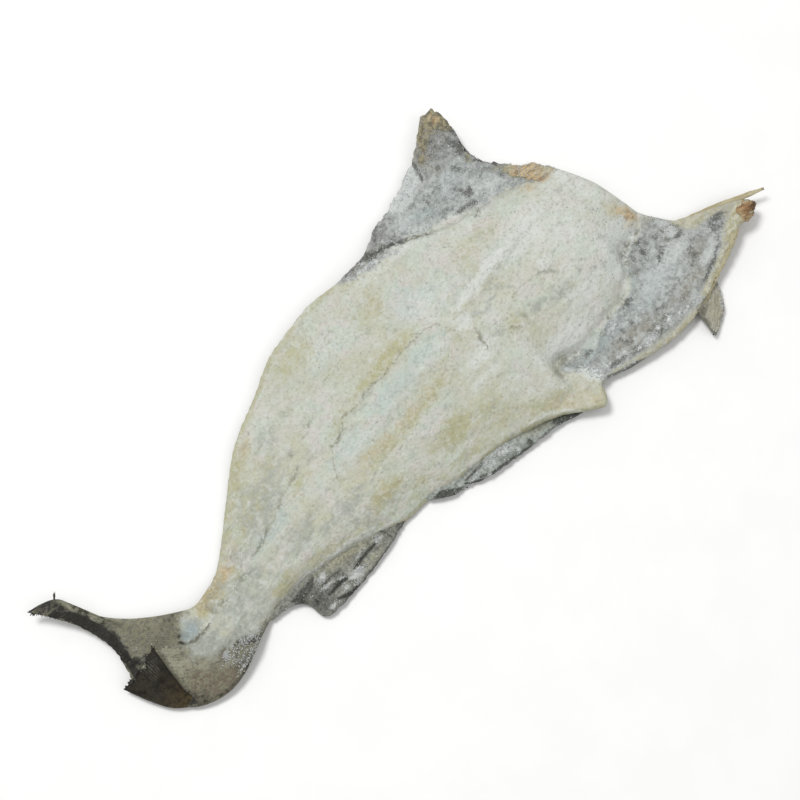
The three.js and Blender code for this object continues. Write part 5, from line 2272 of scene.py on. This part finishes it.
@dataclass
class SaltGrains:
    """Coarse salt lying on the flesh, the linings and the fins."""

    name: str
    carriers: Sequence[Piece]
    crystals: int
    half_sizes: tuple[float, float]
    seed: int
    finish: Material
    sink: float = 0.35
    top: float = 32.4
    spread: float = 0.7
    uneven: tuple[float, float] = (0.7, 1.3)
    smallness: float = 2.2
    on_fin: float = 0.012
    on_flesh: float = 0.006
    on_lining: float = 0.25
    in_frost: float = 1.2

    def build(self) -> Piece:
        """Makes the piece with its finish.

        Returns:
            The piece.
        """
        rng = np.random.default_rng(self.seed)
        pattern = primitive("crystal", bpy.ops.mesh.primitive_cube_add, size=2.0)
        points, normals, weights = self.ground()
        picked = rng.choice(len(points), self.crystals, p=weights / weights.sum())
        half = mix(*self.half_sizes, rng.uniform(0, 1, self.crystals) ** self.smallness)
        sizes = half[:, None] * rng.uniform(*self.uneven, (self.crystals, 3))
        places = points[picked] + rng.uniform(-self.spread, self.spread, (self.crystals, 3)) * [1, 1, 0]
        places = places + normals[picked] * (half * (1 - 2 * self.sink))[:, None]
        turns = turned(rng.uniform(0, 2 * np.pi, (self.crystals, 3)))
        piece = copies(self.name, pattern, places, turns, sizes)
        return dress(piece, self.finish)

    def ground(self) -> tuple[Array, Array, Array]:
        """Points of the carriers, their normals and how likely salt is on them.

        Returns:
            The points and normals, one row each, and the chances.
        """
        points, normals, weights = [], [], []
        for carrier in self.carriers:
            co = fish_points(carrier)
            normal = np.empty(len(co) * 3, np.float32)
            carrier.data.vertices.foreach_get("normal", normal)
            normal = normal.reshape(-1, 3)
            level = clamp01((normal[:, 2] - 0.3) / 0.3)
            points.append(co)
            normals.append(normal)
            weights.append(level * self.liking(carrier, co) * (co[:, 2] < self.top))
        return np.vstack(points), np.vstack(normals), np.concatenate(weights)

    def liking(self, carrier: Piece, co: Array) -> Array:
        """How much salt stays on each point of a carrier.

        Args:
            carrier: the piece that the salt lies on.
            co: its points.

        Returns:
            The chances.
        """
        clumped = 0.15 + clamp01(Grain(self.seed).at(co[:, 0], co[:, 1], 11, 3) + 0.1) ** 2
        frost = read_mask(carrier, Mask.FROST)
        if Mask.LINING.value not in carrier.data.attributes:
            return clumped * (self.on_fin + 0.8 * frost)
        lining, skin = read_mask(carrier, Mask.LINING), read_mask(carrier, Mask.SKIN)
        kept = 1 - 0.9 * clamp01(read_mask(carrier, Mask.LIVID))
        frosted = self.in_frost * frost * (lining + 0.7 * skin + 0.05)
        return clumped * (self.on_flesh * (1 - skin) + kept * (self.on_lining * lining + frosted))


def read_mask(piece: Piece, mask: Mask) -> Array:
    """The numbers that a piece's points keep under a mask's name.

    Args:
        piece: whose points are read.
        mask: which numbers.

    Returns:
        One number a point.
    """
    values = np.empty(len(piece.data.vertices), np.float32)
    piece.data.attributes[mask.value].data.foreach_get("value", values)
    return values


def edge_fins() -> list[EdgeFin]:
    """The three fins that show on the right edge.

    Returns:
        The rear anal fin, the front anal fin and the pectoral fin.
    """
    anal = MembraneFinish(
        "anal_fin_skin", base="76776e", dark="343430", pale="94958b", olive="a19f88", mottle=0.3
    )
    front = MembraneFinish("front_fin_skin", base="8e938b", dark="444741", pale="aeb4ad", mottle=0.15)
    return [
        EdgeFin(
            "rear_anal_fin",
            ((-226, -6), (-160, -12), (-130, -19), (-98, -33), (-68, -42)),
            ((-222, -14), (-203, -19), (-192, -29), (-190, -49), (-155, -55), (-105, -54), (-68, -49)),
            6, 5.4, (90, 16), anal, seed=70, ragged=1.2,
            slits=(
                Stroke(((-173, -39), (-160, -40), (-150, -42)), 1.9, 1.5),
                Stroke(((-142, -42), (-128, -41), (-111, -42)), 1.7, 1.4),
            ),
            dark=(
                *blots(
                    (-184, -35, 9, 4, 1.1, -5), (-181, -36, 13, 14, 0.9), (-155, -33, 6, 2, 0.7),
                    (-114, -46, 3, 4, 0.7, 40), (-188, -47, 4, 3, 0.7), (-134, -33, 10, 3, 0.5, -15),
                    (-80, -48, 14, 4, 0.9, 5), (-94, -45, 12, 6, 0.5), (-194, -24, 10, 10, 0.9),
                ),
                *strokes(
                    (1.8, 1.0, (-172, -29), (-160, -30), (-150, -32)),
                    (2.0, 1.0, (-166, -36), (-156, -38), (-148, -36)),
                    (2.4, 1.5, (-172, -47), (-162, -52), (-154, -55), (-146, -52)),
                    (1.4, 1.3, (-145, -55), (-124, -55), (-106, -54)),
                    (1.4, 1.0, (-104, -36), (-98, -40), (-97, -50)),
                ),
                # Painted shadow: the next field darkens the fin's root under the overhanging flesh edge.
                Field(((-200, -15), (-168, -16), (-176, -25), (-196, -25)), 4.0, 0.95),
            ),
            frost=blots(
                (-142, -46, 9, 4.5, 1.3, -12), (-165, -24, 6, 3.5, 1.0, 20),
                (-167, -32.5, 9, 2, 0.8, -10), (-154, -38, 4, 1.6, 0.9, -20), (-158, -46, 3.5, 4, 0.9),
                (-178, -48, 6, 2.5, 0.8), (-106, -42, 5, 3, 0.7), (-130, -37, 12, 1.6, 0.6),
                (-147, -52, 4, 2, 0.6),
            ),
            olive=(Blot(-124, -49, 13, 4, 0.7), Blot(-132, -27, 34, 7, 1.0, -14)),
        ),
        EdgeFin(
            "front_anal_fin",
            ((-52, -48), (0, -57), (40, -69), (75, -85), (106, -106)),
            ((-48, -57), (-32, -70), (-18, -74), (0, -84), (30, -93), (60, -100.5), (80, -105), (104, -116)),
            6, 6, (90, 16), front, seed=76, ragged=1.2,
            dark=(
                *blots(
                    (51, -94, 4, 4, 1.3, -20), (41, -76, 5, 1.8, 0.8), (84, -103, 18, 4, 0.6, -34),
                    (-6, -68, 16, 5, 0.45, -10), (68, -94, 9, 3, 0.5, -25),
                ),
                *strokes(
                    (2.0, 1.2, (-14, -70), (-4, -71), (6, -72), (12, -70)),
                    (1.8, 1.3, (-17, -71), (-10, -77), (-1, -84)), (2.0, 1.1, (-4, -78), (3, -82)),
                    (2.2, 1.2, (4, -84), (18, -88), (34, -92), (50, -97)),
                    (1.6, 1.2, (20, -71.5), (30, -71.5)), (2.0, 0.8, (58, -100), (70, -101), (78, -103)),
                ),
                Field(((-48, -56), (-35, -58), (-29, -64), (-20, -72), (-32, -71), (-42, -62)), 3.0, 1.3),
                Field(
                    ((17, -79), (30, -84), (46, -90), (56, -95), (52, -98), (30, -92), (18, -88)), 5.0, 0.6,
                ),
                Field(
                    ((76, -99), (84, -97), (92, -102), (104, -114), (97, -114), (88, -109),
                    (80, -104)), 3.0, 1.4,
                ),
            ),
            frost=blots(
                (12, -77, 6, 5, 1.1, -40), (30, -80, 5, 8, 1.1, 60), (-8, -75, 5, 2, 0.9, -20),
                (39, -90, 3, 3, 0.8), (-2, -74, 3, 1.6, 0.7), (24, -75, 10, 3, 0.6, -10),
                (4, -83, 3, 1.5, 0.7),
            ),
            olive=(Blot(68, -91, 22, 5, 0.9, -28),),
        ),
        EdgeFin(
            "pectoral_fin",
            ((240, -164), (244, -152), (248, -141), (260, -134), (288, -127)),
            ((242, -168), (256, -164), (270, -157), (281, -145), (290, -131)),
            10, 5, (36, 14),
            MembraneFinish("pectoral_skin", base="9c998a", dark="5b594f", pale="b4b2a2", salt="c4c3b4",
                           olive="a69e87", mottle=0.5),
            way=RayWay.ALONG, rays=7, ragged=1.2, crumple=0.35, seed=64,
            dark=(
                Blot(240, -165, 4, 5, 0.9), Stroke(((262, -140), (276, -137), (288, -134)), 1.8, 1.0),
                # Painted shadow: the next field darkens the fin's root and its left side, which lie in shade.
                Field(
                    ((240, -138), (260, -138), (258, -146), (249, -149), (238, -168), (234, -150)), 4.0, 0.9,
                ),
            ),
            olive=(Blot(262, -152, 12, 8, 0.7, 40),),
            frost=(Stroke(((250, -166), (262, -160), (274, -151), (282, -142)), 1.6, 0.6),),
        ),
    ]  # fmt: skip


# ---- Studio --------------------------------------------------------------------------------------------
@dataclass(frozen=True)
class Lamp:
    """A square soft light that faces the fish."""

    name: str
    to_right: float
    to_top: float
    high: float
    away: float
    size: float
    power: float


@dataclass(frozen=True)
class Studio:
    """Plain pale floor, soft light from the upper left and the camera."""

    elevation: float = 76.0
    azimuth: float = -51.3
    lens: float = 70.0
    sensor: float = 36.0
    image: int = 800
    mm_per_pixel: float = 0.925
    target: tuple[float, float, float] = (7.0, 24.0, 10.0)
    floor_size: float = 12.0
    floor_colour: str = "f4f4f3"
    floor_shade: str = "efefee"
    ambient: float = 0.5
    lamps: tuple[Lamp, ...] = (
        Lamp("key", to_right=-0.9, to_top=0.7, high=2.3, away=1.4, size=1.1, power=81),
        Lamp("fill", to_right=0.9, to_top=-0.5, high=1.6, away=1.6, size=2.0, power=12),
    )

    def axes(self) -> tuple[Vector, Vector, Vector]:
        """Directions back to the camera, to the picture's right and to its top.

        Returns:
            The three directions.
        """
        a, e = math.radians(self.azimuth), math.radians(self.elevation)
        back = Vector((math.sin(a) * math.cos(e), -math.cos(a) * math.cos(e), math.sin(e)))
        right = Vector((math.cos(a), math.sin(a), 0.0))
        return back, right, back.cross(right)

    def centre(self) -> Vector:
        """The point looked at, in metres."""
        return Vector((np.array(self.target) + ORIGIN_SHIFT) * MM)

    def build(self) -> None:
        """Sets up floor, lights, world and camera."""
        back, right, up = self.axes()
        centre = self.centre()
        self.floor(centre)
        level_up = Vector((up.x, up.y, 0)).normalized()
        for lamp in self.lamps:
            heading = lamp.to_right * right + lamp.to_top * level_up + Vector((0, 0, lamp.high))
            self.area(lamp, centre + heading * lamp.away, centre)
        world = bpy.data.worlds.new("studio")
        world.use_nodes = True
        world.node_tree.nodes["Background"].inputs["Color"].default_value = (1, 1, 1, 1)
        world.node_tree.nodes["Background"].inputs["Strength"].default_value = self.ambient
        bpy.context.scene.world = world
        bpy.context.scene.view_settings.view_transform = "Standard"
        data = bpy.data.cameras.new("camera")
        data.lens, data.sensor_width = self.lens, self.sensor
        distance = self.mm_per_pixel * MM * self.image * self.lens / self.sensor
        camera = bpy.data.objects.new("camera", data)
        camera.location = centre + back * distance
        camera.rotation_mode = "QUATERNION"
        camera.rotation_quaternion = (-back).to_track_quat("-Z", "Y")
        bpy.context.scene.collection.objects.link(camera)
        bpy.context.scene.camera = camera

    def floor(self, centre: Vector) -> None:
        """Lays the floor under the fish.

        Args:
            centre: the point looked at.
        """
        place = (centre.x, centre.y, 0)
        floor = primitive("floor", bpy.ops.mesh.primitive_plane_add, size=self.floor_size, location=place)
        r = Recipe("studio_floor")
        colour = r.over(r.band(r.noise(60, 2), 0.4, 0.6, 0.3), self.floor_colour, self.floor_shade)
        floor.data.materials.append(r.finish(colour, 0.9, r.noise(2, 1), 0.02, Specular_IOR_Level=0.1))

    def area(self, lamp: Lamp, place: Vector, aim: Vector) -> None:
        """Adds a lamp at a place, facing a point.

        Args:
            lamp: its size and power.
            place: where it is.
            aim: what it faces.
        """
        data = bpy.data.lights.new(lamp.name, "AREA")
        data.size, data.energy = lamp.size, lamp.power
        light = bpy.data.objects.new(lamp.name, data)
        light.location = place
        light.rotation_mode = "QUATERNION"
        light.rotation_quaternion = (place - aim).to_track_quat("Z", "Y")
        bpy.context.scene.collection.objects.link(light)


def main() -> None:
    """Builds the fish and the studio, and reports each piece."""
    logging.basicConfig(level=logging.INFO, format="%(name)s: %(message)s")
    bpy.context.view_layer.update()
    Studio().build()
    body = Body().build()
    fins = [fin.build() for fin in edge_fins()]
    pieces = [body, TailLobe().build(), *fins]
    pieces += [part.build() for part in (CollarSpike(), FlapRim(BodyForm()), Knuckle(), Frays())]
    salt = SaltFinish().make()
    for name, crystals, half_sizes, seed in (
        ("salt_grains", 10000, (0.16, 0.46), 95),
        ("salt_crystals", 320, (0.4, 0.8), 96),
    ):
        pieces.append(SaltGrains(name, [body, *fins], crystals, half_sizes, seed, salt).build())
    for piece in pieces:
        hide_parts(CAD_NODE)
        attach(piece, BODY)
        log.info("%s: %d faces", piece.name, len(piece.data.polygons))


if __name__ == "__main__":
    main()
